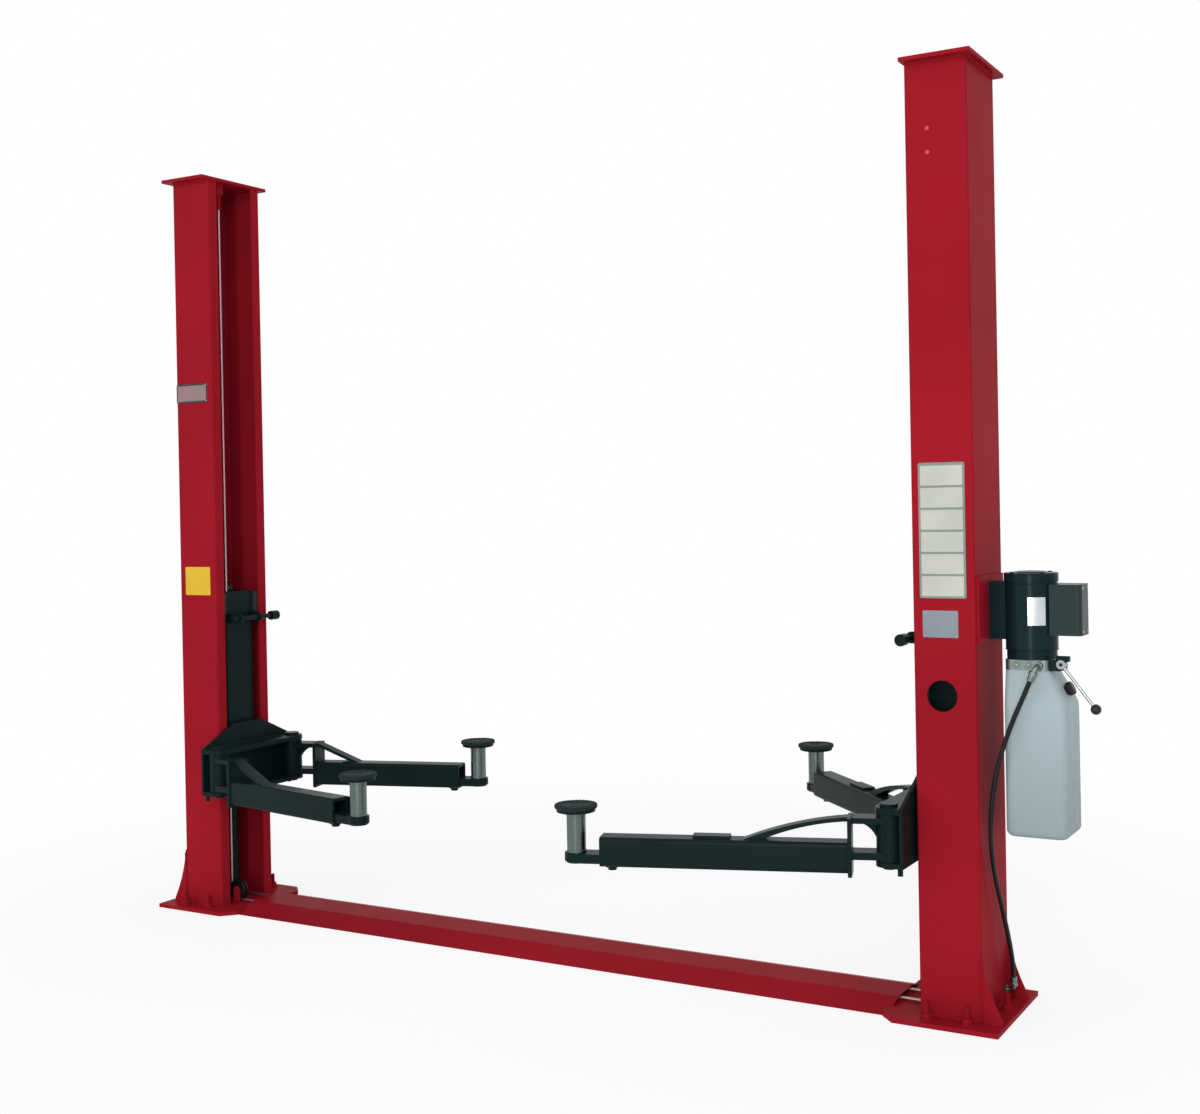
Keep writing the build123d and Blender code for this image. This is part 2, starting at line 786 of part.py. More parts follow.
    pad_spot = arm_plane(arm).from_local_coords((reach, 0, 0))
    with BuildPart() as post:
        stub_bottom = inner_tube_bottom + socket_floor + post_gap
        stub_radius = socket_radius - socket_fit
        with BuildSketch(Plane(origin=pad_spot, x_dir=(1, 0, 0), z_dir=(0, -1, 0))):
            with BuildLine():
                Polyline((0, stub_bottom), (stub_radius, stub_bottom), (stub_radius, foot_top + post_gap),
                         (post_radius, foot_top + post_gap), (post_radius, post_top), (dish_radius, post_top),
                         (dish_radius, post_top + dish_height), (0, post_top + dish_height), close=True)
            make_face()
        revolve(axis=Axis(pad_spot, (0, 0, 1)))
    save(post, f"pad_post_{name}")

    with BuildPart() as pad:
        pad_bottom = post_top + dish_height
        pad_top = pad_bottom + pad_height
        with BuildSketch(Plane(origin=pad_spot, x_dir=(1, 0, 0), z_dir=(0, -1, 0))):
            with BuildLine():
                Polyline((0, pad_bottom), (dish_radius, pad_bottom),
                         (pad_radius, pad_bottom + pad_height / 3), (pad_radius, pad_top - pad_recess),
                         (pad_radius - pad_recess, pad_top), (pad_recess_radius, pad_top),
                         (pad_recess_radius - pad_recess, pad_top - pad_recess), (0, pad_top - pad_recess),
                         close=True)
            make_face()
        revolve(axis=Axis(pad_spot, (0, 0, 1)))
    save(pad, f"lifting_pad_{name}")

# Safety locks: a bar in the carriage's two lugs, and a round grip
for name, side in sides.items():
    with BuildPart() as lock:
        for low, high, radius in (
            (lock_bar_start, lock_bar_end, lock_bar_radius),
            (lock_bar_end - lock_bar_radius, lock_bar_end - lock_bar_radius + knob_length, knob_radius),
        ):
            with BuildSketch(flank(side, low)):
                with Locations((lock_reach, lock_height)):
                    Circle(radius)
            extrude(amount=low - high)
    save(lock, f"lock_knob_{name}")

# Power unit: a plate on the column's outer face, and on it a channel that holds the motor
with BuildPart() as unit_plate:
    with BuildSketch(Plane.YZ.offset(outer_face)):
        with Locations((0, (bracket_bottom + bracket_top) / 2)):
            Rectangle(2 * unit_plate_half, bracket_top - bracket_bottom)
    extrude(amount=bracket_thickness)
save(unit_plate, "unit_plate")

with BuildPart() as unit_bracket:
    bracket_face = outer_face + bracket_thickness
    rib_low = bracket_bottom + bracket_rib
    rib_high = motor_top - motor_cap - run_gap
    with BuildSketch(Plane.YZ.offset(bracket_face)):
        with Locations((0, (rib_low + rib_high) / 2)):
            Rectangle(2 * bracket_half, rib_high - rib_low)
    extrude(amount=bracket_rib)
    for hand in (-1, 1):
        with BuildSketch(Plane.XZ.offset(hand * (bracket_half - bracket_rib / 2))):
            with Locations(((bracket_face + motor_x) / 2, (rib_low + rib_high) / 2)):
                Rectangle(motor_x - bracket_face, rib_high - rib_low)
        extrude(amount=bracket_rib / 2, both=True)
    with BuildSketch(Plane.XY.offset(rib_low)):
        with Locations((motor_x, 0)):
            Circle(motor_radius - motor_neck)
    extrude(amount=rib_high - rib_low, mode=Mode.SUBTRACT)
save(unit_bracket, "unit_bracket")

with BuildPart() as motor:
    with BuildSketch(Plane(origin=(motor_x, 0, 0), x_dir=(1, 0, 0), z_dir=(0, -1, 0))):
        with BuildLine():
            body = motor_radius - motor_neck
            foot = body - motor_neck
            Polyline((0, motor_bottom), (foot, motor_bottom), (foot, motor_bottom + motor_cap),
                     (body, motor_bottom + motor_cap), (body, motor_top - motor_cap),
                     (motor_radius, motor_top - motor_cap), (motor_radius, motor_top - motor_neck),
                     (motor_radius - motor_neck, motor_top), (0, motor_top), close=True)
        make_face()
    revolve(axis=Axis((motor_x, 0, 0), (0, 0, 1)))
save(motor, "motor")

with BuildPart() as capacitor_box:
    with BuildSketch(Plane.XY.offset(box_bottom)):
        box_start = motor_x + motor_radius - box_inset
        with Locations(((box_start + box_end) / 2, 0)):
            Rectangle(box_end - box_start, 2 * box_half)
    extrude(amount=box_top - box_bottom)
    fillet(capacitor_box.edges().filter_by(Axis.Z).group_by(Axis.X)[-1], radius=box_corner)
    with BuildSketch(Plane.XY.offset(box_bottom - 1)):
        with Locations((motor_x, 0)):
            Circle(motor_radius - motor_neck)
    extrude(amount=box_top - box_bottom + 2, mode=Mode.SUBTRACT)
save(capacitor_box, "capacitor_box")

with BuildPart() as manifold:
    with BuildSketch(Plane.XY.offset(manifold_bottom)):
        with Locations((motor_x, 0)):
            RectangleRounded(2 * manifold_half, 2 * manifold_half, manifold_corner)
    extrude(amount=motor_bottom - manifold_bottom)
save(manifold, "pump_manifold")

with BuildPart() as oil_tank:
    with BuildSketch(Plane.XY.offset(tank_bottom)):
        with Locations((tank_centre, 0)):
            RectangleRounded(2 * tank_half_x, 2 * tank_half_y, tank_corner)
    extrude(amount=tank_shoulder - tank_bottom)
    chamfer(oil_tank.faces().sort_by(Axis.Z)[0].edges(), length=tank_foot_chamfer)
    with BuildSketch(Plane.XY.offset(tank_shoulder)):
        with Locations((tank_centre, 0)):
            RectangleRounded(2 * tank_half_x, 2 * tank_half_y, tank_corner)
    with BuildSketch(Plane.XY.offset(manifold_bottom)):
        with Locations((motor_x, 0)):
            RectangleRounded(2 * tank_neck_half, 2 * tank_neck_half, manifold_corner)
    loft()
save(oil_tank, "oil_tank")

with BuildPart() as filler_cap:
    shoulder_run = tank_centre + tank_half_x - motor_x - tank_neck_half
    shoulder_rise = manifold_bottom - tank_shoulder
    cap_x = tank_centre + tank_half_x - cap_rise * shoulder_run
    cap_z = tank_shoulder + cap_rise * shoulder_rise
    cap_plane = Plane(origin=(cap_x, 0, cap_z), z_dir=(shoulder_rise, 0, shoulder_run))
    with BuildSketch(cap_plane):
        Circle(cap_radius)
    extrude(amount=cap_length)
save(filler_cap, "filler_cap")

lever_side = lever_y - valve_radius
with BuildPart() as release_valve:
    with BuildSketch(Plane.YZ.offset(motor_x + manifold_half)):
        with Locations((lever_y, (manifold_bottom + motor_bottom) / 2)):
            Circle(valve_radius)
    extrude(amount=valve_length)
    with BuildSketch(Plane.YZ.offset(motor_x + manifold_half)):
        with Locations((lever_y, (manifold_bottom + motor_bottom) / 2)):
            Rectangle(2 * valve_block_half, motor_bottom - manifold_bottom)
    extrude(amount=valve_block)
    with BuildSketch(Plane.YZ.offset(motor_x + manifold_half + valve_stub_start)):
        with Locations((lever_y, motor_bottom + valve_stub_rise)):
            Circle(valve_stub_radius)
    extrude(amount=valve_stub_length)
    with BuildSketch(Plane.XZ.offset(-lever_y)):
        with Locations((lever_x, lever_z)):
            Circle(lever_pin_radius)
    extrude(amount=valve_radius + run_gap + lever_hub_length)
save(release_valve, "release_valve")

# Lowering lever: a hub on the valve's pin, a thin rod and a ball
hub_y = lever_side - run_gap - lever_hub_length / 2
lever_foot = (lever_x, hub_y, lever_z)
lever_tip = (lever_tip_x, hub_y, lever_tip_z)
lever_direction = Vector(*lever_tip) - Vector(*lever_foot)
lever_rod = Plane(origin=lever_foot, z_dir=lever_direction)
with BuildPart() as release_lever:
    with BuildSketch(lever_rod):
        Circle(lever_radius)
    extrude(amount=lever_direction.length - ball_radius + ball_socket)
    with BuildSketch(Plane.XZ.offset(-hub_y)):
        with Locations((lever_x, lever_z)):
            Circle(lever_hub_radius)
    extrude(amount=lever_hub_length / 2, both=True)
    with BuildSketch(Plane.XZ.offset(-hub_y)):
        with Locations((lever_x, lever_z)):
            Circle(lever_pin_radius + lever_pin_fit)
    extrude(amount=lever_hub_length, both=True, mode=Mode.SUBTRACT)
save(release_lever, "release_lever")

with BuildPart() as lever_ball:
    with Locations(lever_tip):
        Sphere(ball_radius)
    with BuildSketch(lever_rod):
        Circle(lever_radius)
    extrude(amount=lever_direction.length - ball_radius + ball_socket, mode=Mode.SUBTRACT)
save(lever_ball, "lever_ball")

# Hose fittings: an elbow on the pump and an elbow on the column's outer face
first, second = Vector(*hose_route[0]), Vector(*hose_route[1])
last, last_but_one = Vector(*hose_route[-1]), Vector(*hose_route[-2])
upper_elbow = first + (first - second).normalized() * fitting_length
lower_elbow = last + (last - last_but_one).normalized() * fitting_length
with BuildPart() as hose_fittings:
    with BuildSketch(Plane(origin=first, z_dir=first - second)):
        Circle(fitting_radius)
    extrude(amount=fitting_length)
    with BuildSketch(Plane.XZ.offset(manifold_half)):
        with Locations((upper_elbow.X, upper_elbow.Z)):
            Circle(fitting_radius)
    extrude(amount=-upper_elbow.Y - manifold_half)
    with BuildSketch(Plane(origin=last, z_dir=last - last_but_one)):
        Circle(fitting_radius)
    extrude(amount=fitting_length)
    with BuildSketch(Plane.YZ.offset(outer_face)):
        with Locations((lower_elbow.Y, lower_elbow.Z)):
            Circle(fitting_radius)
    extrude(amount=lower_elbow.X - outer_face)
    with Locations(upper_elbow, lower_elbow):
        Sphere(fitting_radius)
save(hose_fittings, "hose_fittings")

# Each bend of the hose is as large as its two runs allow
bends = []
for before, corner, after in zip(hose_route, hose_route[1:], hose_route[2:]):
    arriving = Vector(*corner) - Vector(*before)
    leaving = Vector(*after) - Vector(*corner)
    turn = radians(arriving.get_angle(leaving))
    bends.append(0.45 * min(arriving.length, leaving.length) / tan(turn / 2))
print("hose bend radii", [round(bend) for bend in bends])
with BuildPart() as hydraulic_hose:
    with BuildLine() as hose_path:
        FilletPolyline(*hose_route, radius=bends)
    with BuildSketch(Plane(origin=hose_route[0], z_dir=Vector(*hose_route[1]) - Vector(*hose_route[0]))):
        Circle(hose_radius)
    sweep(path=hose_path.wire())
save(hydraulic_hose, "hydraulic_hose")
print("hose length", round(hose_path.wire().length))
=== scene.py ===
"""Two post car lift: finishes, ropes, fasteners, welds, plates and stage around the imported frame."""
from math import cos, radians, sin

import bmesh
import bpy
import numpy as np
from bpy.props import FloatProperty, FloatVectorProperty, IntProperty, PointerProperty
from bpy.types import Operator, Panel, PropertyGroup
from mathutils import Matrix, Vector


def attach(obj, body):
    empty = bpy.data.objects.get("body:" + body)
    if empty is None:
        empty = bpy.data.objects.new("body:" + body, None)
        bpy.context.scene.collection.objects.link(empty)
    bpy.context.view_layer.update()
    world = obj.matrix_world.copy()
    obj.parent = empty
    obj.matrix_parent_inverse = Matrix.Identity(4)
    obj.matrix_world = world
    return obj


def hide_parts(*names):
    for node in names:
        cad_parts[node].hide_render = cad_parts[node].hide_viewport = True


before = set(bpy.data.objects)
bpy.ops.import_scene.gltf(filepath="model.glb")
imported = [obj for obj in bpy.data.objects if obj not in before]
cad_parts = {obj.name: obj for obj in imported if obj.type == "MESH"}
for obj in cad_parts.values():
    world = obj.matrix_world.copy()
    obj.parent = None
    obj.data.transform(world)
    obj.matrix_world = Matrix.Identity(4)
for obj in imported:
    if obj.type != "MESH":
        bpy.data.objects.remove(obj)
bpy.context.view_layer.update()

bl_info = {
    "name": "Two Post Car Lift",
    "version": (1, 0, 0),
    "blender": (4, 5, 0),
    "location": "View3D > Sidebar > Car Lift",
    "description": "Dresses a two post car lift with its finishes, ropes, fasteners and plates",
    "category": "Object",
}

# The columns, in metres from the lift's middle: the mouth faces the middle, the halves lie along Y
SIDES = {"left": -1, "right": 1}
MOUTH = 1.397
COLUMN_DEPTH = 0.188
COLUMN_HALF = 0.139
OUTER_FACE = MOUTH + COLUMN_DEPTH
COLUMN_TOP = 2.812
COLUMN_BEND = 0.009
LIP_EDGE = 0.096
BACK_RUN = 0.13
PLATE_TOP = 0.014
GUSSET_HALF = 0.003
GUSSET_REACH = 0.056
GUSSET_TOP = 0.205
SCREW_LEVELS = (2.545, 2.615)
SCREW_DEPTH = 0.069

# The equalizer ropes, with their depths behind the columns' mouths
CABLE_OFFSET = 0.044
CABLE_FRONT = 0.040
CABLE_BACK = 0.166
CABLE_HEIGHT = 0.020
CABLE_TOP = 2.772
CABLE_STEP = 0.0065
PULLEY_RADIUS = 0.036

# The power unit
MOTOR_X = 1.711
MOTOR_TOP = 1.312
BODY_RADIUS = 0.075
SEAM_LEVELS = (1.0885, 1.2800)
MANIFOLD_HALF = 0.066
PLUG_LEVEL = 1.046
PLUGS = ((-0.030, -1), (0.004, -1), (-0.030, 1), (0.030, 1))
PLATE_LEVELS = (1.161, 1.243)
PLATE_ANGLES = (radians(-64), radians(20))
TANK_X = 1.737
TANK_HALF = 0.091
TANK_BOTTOM = 0.549
TANK_SHOULDER = 0.933
TANK_TOP = 1.031
BOX_END = 1.866
BOX_SCREWS = [(across, height) for across in (-0.028, 0.028) for height in (1.143, 1.268)]

# A carriage's welds: uprights as depth, half width, bottom and top, and runs across its front
CARRIAGE_UPRIGHTS = ((0.008, 0.075, 0.475, 0.705), (-0.020, 0.067, 0.712, 1.10))
CARRIAGE_FRONT = 0.018
CARRIAGE_HALF = 0.235
CARRIAGE_LEVELS = (0.473, 0.632, 0.615)

# Each arm: side, hand, splay in degrees, outer tube's length, brace's length and the pad's reach
ARMS = {
    "left_front": (-1, -1, 10.6, 0.598, 0.175, 0.810),
    "left_rear": (-1, 1, 16.5, 0.598, 0.175, 0.786),
    "right_front": (1, 1, 18.3, 0.745, 0.312, 0.944),
    "right_rear": (1, -1, 44.0, 0.745, 0.312, 0.930),
}

# The arms' pivots from the column's mouth and middle, their end plates, as reaches from the pivot, and the
# heights of their tubes, ears and braces
PIVOT_REACH = 0.063
PIVOT_SPREAD = 0.2
END_FACE = 0.120
END_BACK = 0.108
TUBE_BOTTOM = 0.438
TUBE_TOP = 0.528
TUBE_WELD = (0.450, 0.516)
TUBE_SIDE = 0.040
TUBE_RUN = 0.028
EAR_RUN = 0.032
STOP_INSET = 0.032
EAR_LEVELS = (0.501, 0.479, 0.602, 0.585)
BRACE_HALF = 0.022
BRACE_LEVELS = (0.590, 0.602)
PAD_SEAT = 0.606

# The hose's route from the pump down to the column's foot
HOSE_ROUTE = [
    (1.738, -0.108, 1.021), (1.714, -0.110, 0.964), (1.679, -0.111, 0.886), (1.648, -0.110, 0.803),
    (1.623, -0.107, 0.712), (1.608, -0.100, 0.610), (1.602, -0.080, 0.510), (1.601, -0.042, 0.416),
    (1.606, 0.000, 0.328), (1.609, 0.042, 0.244), (1.612, 0.076, 0.166), (1.612, 0.094, 0.108),
    (1.611, 0.097, 0.070),
]

# Radius and height of the turned pieces. A post has a plain stub in its arm's socket, and a seam is given
# from the motor's radius and its own height
POST_PROFILE = [
    (0, 0.4478), (0.0200, 0.4478), (0.02095, 0.4488), (0.02095, 0.4748), (0.0290, 0.4748), (0.0300, 0.4758),
    (0.0300, 0.4830), (0.0292, 0.4838), (0.0292, 0.5860), (0.0300, 0.5868), (0.0300, 0.5985), (0, 0.5985),
]
DISH_PROFILE = [
    (0, 0.5980), (0.0560, 0.5980), (0.0592, 0.5990), (0.0600, 0.6006), (0.0600, 0.6050), (0.0595, 0.6060),
    (0, 0.6060),
]
PAD_PROFILE = [
    (0, 0), (0.0585, 0), (0.0615, 0.0010), (0.0655, 0.0048), (0.0660, 0.0070), (0.0660, 0.0115),
    (0.0648, 0.0145), (0.0620, 0.0158), (0.0600, 0.0160), (0.0500, 0.0160), (0.0475, 0.0156),
    (0.0455, 0.0138), (0.0440, 0.0130), (0.0360, 0.0130), (0.0350, 0.0140), (0.0330, 0.0140),
    (0.0320, 0.0130), (0.0220, 0.0130), (0.0210, 0.0140), (0.0190, 0.0140), (0.0180, 0.0130), (0, 0.0130),
]
SCREW_PROFILE = [(0, 0), (0.0070, 0), (0.0070, 0.0012), (0.0058, 0.0030), (0.0034, 0.0042), (0, 0.0046)]
WASHER_PROFILE = [(0.008, 0), (0.0198, 0), (0.0200, 0.0008), (0.0200, 0.0032), (0.0192, 0.004),
                  (0.008, 0.004), (0.008, 0)]
STOP_PROFILE = [(0, 0), (0.0235, 0), (0.0235, 0.0030), (0.0200, 0.0062), (0, 0.0062)]
SEAM_PROFILE = [(-0.002, -0.0016), (0.0008, -0.0010), (0.0014, 0), (0.0008, 0.0010), (-0.002, 0.0016),
                (-0.002, -0.0016)]
DOME_PROFILE = [(0, -0.001), (0.050, -0.001), (0.050, 0), (0.047, 0.0022), (0.040, 0.0036),
                (0.026, 0.0048), (0, 0.0052)]
PLUG_PROFILE = [(0, 0), (0.0098, 0), (0.0098, 0.0015), (0, 0.0018)]
BOX_SCREW_PROFILE = [(0, 0), (0.0045, 0), (0.0045, 0.0008), (0.0038, 0.0020), (0.0020, 0.0027), (0, 0.0029)]
RIVET_PROFILE = [(0, 0), (0.0026, 0), (0.0025, 0.0007), (0.0018, 0.0013), (0, 0.0016)]
CAP_PROFILE = [(0, -0.004), (0.0140, -0.004), (0.0140, 0.004), (0.0190, 0.0045), (0.0200, 0.0060),
               (0.0200, 0.0185), (0.0190, 0.0210), (0.0160, 0.0224), (0.0100, 0.0230), (0, 0.0230)]

# Blank plates on the columns' front flanges: left, right, bottom and top
NOTICE_PANEL = (1.420, 1.560, 1.241, 1.638)
SMALL_PANEL = (1.427, 1.534, 1.126, 1.205)
SIDE_PANEL = (-1.583, -1.421, 1.956, 2.030)
SIDE_FIELD = (-1.577, -1.427, 1.963, 2.023)
SQUARE_PANEL = (-1.555, -1.425, 1.211, 1.320)
FIELD_DEPTH = 0.0004

# Each lamp: its place, what it is aimed at, its width and height, and its power's name in the panel
LAMPS = {
    "key_lamp": ((4.6, -7.6, 4.8), (0.2, 0.0, 1.2), 5.0, 5.0, "key_power"),
    "side_lamp": ((-5.0, -6.0, 3.4), (-0.4, 0.0, 1.2), 4.0, 4.0, "side_power"),
    "strip_lamp": ((2.8, -8.0, 1.4), (0.6, 0.0, 0.8), 0.5, 2.6, "strip_power"),
}
FLOOR_HALF = 60
FLOOR_FADE = (1.6, 4.2)

# The camera as fitted to the photo: place, yaw, pitch and roll in degrees, and the point that its axis
# meets in a picture of 1200 by 1114
CAMERA_PLACE = (2.90461, -4.45287, 1.53633)
CAMERA_ANGLES = (29.4033, -0.3147, -1.0790)
CAMERA_LENS = 45.79
PICTURE = (1200, 1114)
AXIS_POINT = (637.98, 511.27)

UP = (0, 0, 1)
DOWN = (0, 0, -1)
WHITE = (1, 1, 1, 1)


def tint(name, description, default):
    """A colour in the panel."""
    return FloatVectorProperty(
        name=name, description=description, default=default, subtype="COLOR", size=3, min=0, max=1)


def measure(name, description, default, low, high):
    """A length in the panel."""
    return FloatProperty(
        name=name, description=description, default=default, unit="LENGTH", min=low, max=high)


class LiftColours(PropertyGroup):
    """Colours of the lift's paints, metals, plastics and rubber."""

    red: tint("Column red", "Enamel of the columns, plates, cover and tie", (0.275, 0.0092, 0.0175))
    green: tint("Carriage green", "Dark enamel of the carriages, arms and cylinders", (0.004, 0.013, 0.0125))
    black: tint("Motor black", "Enamel of the motor, its bracket and the valve", (0.004, 0.016, 0.019))
    box: tint("Box black", "Sheet box beside the motor", (0.020, 0.036, 0.034))
    zinc: tint("Zinc", "Plated lever, box screws and rivets", (0.34, 0.37, 0.36))
    dull: tint("Dull steel", "Pulleys, rod heads and chain wheels", (0.055, 0.060, 0.060))
    post: tint("Post steel", "Turned posts under the pads", (0.115, 0.152, 0.140))
    # The rope's pink tint is a painted reflection of the red columns round it, and its lighter tone is
    # painted light against the shade inside the columns
    rope: tint("Rope steel", "Wire rope", (0.50, 0.33, 0.34))
    casting: tint("Casting", "Aluminium of the pump body", (0.20, 0.25, 0.245))
    tank: tint("Tank", "Polyethylene of the oil tank", (0.295, 0.370, 0.392))
    rubber: tint("Rubber", "Lifting pads", (0.012, 0.020, 0.020))
    nylon: tint("Nylon", "Slide blocks of the carriages", (0.020, 0.024, 0.023))


class LiftSizes(PropertyGroup):
    """Sizes of the pieces that are made here."""

    hose_diameter: measure("Hose diameter", "Outside of the hydraulic hose", 0.014, 0.004, 0.03)
    rope_diameter: measure("Rope diameter", "Over the strands", 0.010, 0.004, 0.02)
    rope_lay: measure("Rope lay", "Length in which a strand goes round once", 0.065, 0.02, 0.2)
    weld_radius: measure("Weld radius", "Half the width of a weld bead", 0.0038, 0.001, 0.01)
    weld_ripple: measure("Weld ripple", "Distance between the ripples of a bead", 0.006, 0.002, 0.02)
    plate_thickness: measure("Plate thickness", "Name and notice plates", 0.0010, 0.0003, 0.003)
    pad_ribs: IntProperty(
        name="Pad ribs", description="Ribs round the top of each rubber pad",
        min=12, max=72, default=36)


class LiftStage(PropertyGroup):
    """The lamps, the light all round and the floor."""

    key_power: FloatProperty(
        name="Key lamp", description="Soft lamp high in front of the lift",
        subtype="POWER", min=0, default=236)
    side_power: FloatProperty(
        name="Side lamp", description="Soft lamp to the left of the lift",
        subtype="POWER", min=0, default=90)
    strip_power: FloatProperty(
        name="Strip lamp", description="Narrow upright lamp that draws a line on round pieces",
        subtype="POWER", min=0, default=120)
    world_strength: FloatProperty(
        name="World strength", description="Even light from all round",
        min=0, max=2, default=0.72)
    floor_glow: FloatProperty(
        name="Floor glow", description="How far the floor is plain white to the camera",
        subtype="FACTOR", min=0, max=1, default=0.80)


def add_node(tree, kind, sources=None, values=None):
    """A new shader node, with outputs linked into its sockets and constants set on others."""
    node = tree.nodes.new("ShaderNode" + kind)
    for socket, source in (sources or {}).items():
        tree.links.new(source, node.inputs[socket])
    for socket, value in (values or {}).items():
        node.inputs[socket].default_value = value
    return node


def map_range(tree, source, span, result, kind="LINEAR"):
    """A value carried from one span to another."""
    sockets = ("From Min", "From Max", "To Min", "To Max")
    node = add_node(tree, "MapRange", {"Value": source}, dict(zip(sockets, (*span, *result))))
    node.interpolation_type = kind
    return node.outputs["Result"]


def calculated(tree, operation, first, second):
    """The outcome of a math node on two outputs."""
    node = add_node(tree, "Math", {0: first, 1: second})
    node.operation = operation
    return node.outputs[0]


def mixed(tree, share, first, second, output):
    """Mixes two shaders by a share and links them to the tree's output."""
    mix = add_node(tree, "MixShader", {"Fac": share, 1: first.outputs[0], 2: second.outputs[0]})
    tree.links.new(mix.outputs[0], tree.nodes[output].inputs["Surface"])


class Finish:
    """Builds one procedural material on Object coordinates: tone, roughness and bump from noises."""

    def __init__(self, name, colour, metallic=0.0, specular=0.5, roughness=0.4):
        self.material = bpy.data.materials.new(name)
        self.material.use_nodes = True
        self.tree = self.material.node_tree
        self.shader = self.tree.nodes["Principled BSDF"]
        self.shader.inputs["Base Color"].default_value = (*colour, 1)
        self.shader.inputs["Metallic"].default_value = metallic
        self.shader.inputs["Specular IOR Level"].default_value = specular
        self.shader.inputs["Roughness"].default_value = roughness
        self.colour = colour
        self.place = add_node(self.tree, "TexCoord").outputs["Object"]
        self.relief = None

    def feed(self, source, socket):
        self.tree.links.new(source, self.shader.inputs[socket])

    def noise(self, scale, detail):
        """A noise whose features are 1/scale metres across."""
        return add_node(self.tree, "TexNoise", {"Vector": self.place},
                        {"Scale": scale, "Detail": detail}).outputs["Fac"]

    def tone(self, source, dark, light, span=(0.3, 0.7)):
        """Base colour from dark to light times the finish's own, as the source goes over the span."""
        ramp = add_node(self.tree, "ValToRGB", {"Fac": source})
        for element, position, amount in zip(ramp.color_ramp.elements, span, (dark, light)):
            element.position = position
            element.color = (*(min(1, channel * amount) for channel in self.colour), 1)
        self.feed(ramp.outputs["Color"], "Base Color")

    def rough(self, source, low, high):
        """Roughness from low to high, as a noise goes over its usual span."""
        self.feed(map_range(self.tree, source, (0.3, 0.7), (low, high)), "Roughness")

    def bump(self, source, depth, strength):
        """Adds relief of the given depth in metres, over any relief already there."""
        sources = {"Height": source, **({"Normal": self.relief} if self.relief else {})}
        values = {"Strength": strength, "Distance": depth}
        self.relief = add_node(self.tree, "Bump", sources, values).outputs["Normal"]
        self.feed(self.relief, "Normal")


def enamel(name, colour, specular, roughness, mottle=0.10):
    """Sprayed enamel: a cloudy tone, fine orange peel and a slightly uneven gloss."""
    made = Finish(name, colour, specular=specular, roughness=roughness)
    made.tone(made.noise(1.6, 3), 1 - mottle, 1 + mottle)
    made.rough(made.noise(5.0, 2), roughness - 0.03, roughness + 0.04)
    made.bump(made.noise(420.0, 2), 0.00010, 0.30)
    return made.material


def plated(name, colour, roughness):
    """Plated steel: a spangle of slightly different greys over fine lines."""
    made = Finish(name, colour, metallic=1.0, roughness=roughness)
    made.tone(made.noise(45.0, 3), 0.93, 1.05)
    made.rough(made.noise(60.0, 3), roughness - 0.04, roughness + 0.06)
    made.bump(made.noise(700.0, 2), 0.00008, 0.3)
    return made.material


def moulded(name, colour, specular, roughness):
    """Moulded plastic or rubber: an even tone with a fine grain."""
    made = Finish(name, colour, specular=specular, roughness=roughness)
    made.tone(made.noise(9.0, 2), 0.93, 1.07)
    made.rough(made.noise(30.0, 2), roughness - 0.05, roughness + 0.05)
    made.bump(made.noise(900.0, 2), 0.00012, 0.4)
    return made.material


def blown_plastic(name, colour):
    """Milky polyethylene, darker towards the bottom and paler towards the shoulder, with the soft waviness
    of a blown tank.
    """
    made = Finish(name, colour, specular=0.06, roughness=0.38)
    height = add_node(made.tree, "SeparateXYZ", {"Vector": made.place}).outputs["Z"]
    level = map_range(made.tree, height, (TANK_BOTTOM, TANK_SHOULDER), (0.0, 1.0))
    made.tone(level, 0.86, 1.14, (0.0, 1.0))
    made.rough(made.noise(30.0, 3), 0.30, 0.46)
    made.bump(made.noise(18.0, 2), 0.003, 0.18)
    made.bump(made.noise(500.0, 2), 0.0001, 0.3)
    made.shader.inputs["Subsurface Weight"].default_value = 0.15
    made.shader.inputs["Subsurface Radius"].default_value = (0.02, 0.02, 0.02)
    return made.material


# Each finish: its maker, its colour or the colour's name in the panel, and the maker's numbers. None has
# the name of one of the record's material slots, because the frame's plain ones have those
FINISHES = {
    "red_enamel": (enamel, "red", 0.006, 0.30),
    # The screw heads' lighter pink red is a painted highlight; their higher gloss is real
    "screw_paint": (enamel, (0.45, 0.062, 0.085), 0.25, 0.28),
    "green_enamel": (enamel, "green", 0.058, 0.34, 0.18),
    "black_enamel": (enamel, "black", 0.09, 0.26, 0.15),
    "box_enamel": (enamel, "box", 0.09, 0.32, 0.12),
    "zinc_plate": (plated, "zinc", 0.30),
    "dull_steel": (plated, "dull", 0.45),
    "post_steel": (plated, "post", 0.29),
    "fitting_steel": (plated, (0.20, 0.235, 0.225), 0.36),
    # The rope's pink is a painted reflection and its lighter tone painted light
    "rope_steel": (plated, "rope", 0.42),
    "casting": (plated, "casting", 0.46),
    "blown_tank": (blown_plastic, "tank"),
    "moulded_black": (moulded, (0.006, 0.007, 0.008), 0.3, 0.35),
    "ribbed_rubber": (moulded, "rubber", 0.10, 0.62),
    "hose_cover": (moulded, (0.006, 0.007, 0.008), 0.2, 0.42),
    "slide_nylon": (moulded, "nylon", 0.15, 0.5),
    "bright_plate": (plated, (0.60, 0.64, 0.67), 0.30),
    "grey_plate": (moulded, (0.206, 0.237, 0.270), 0.1, 0.4),
    "slate_plate": (moulded, (0.045, 0.035, 0.045), 0.1, 0.4),
    "yellow_vinyl": (moulded, (0.62, 0.40, 0.03), 0.1, 0.45),
    "panel_border": (moulded, (0.20, 0.25, 0.22), 0.1, 0.42),
    "panel_field": (moulded, (0.46, 0.47, 0.42), 0.1, 0.42),
    "name_field": (moulded, (0.255, 0.170, 0.172), 0.1, 0.42),
}


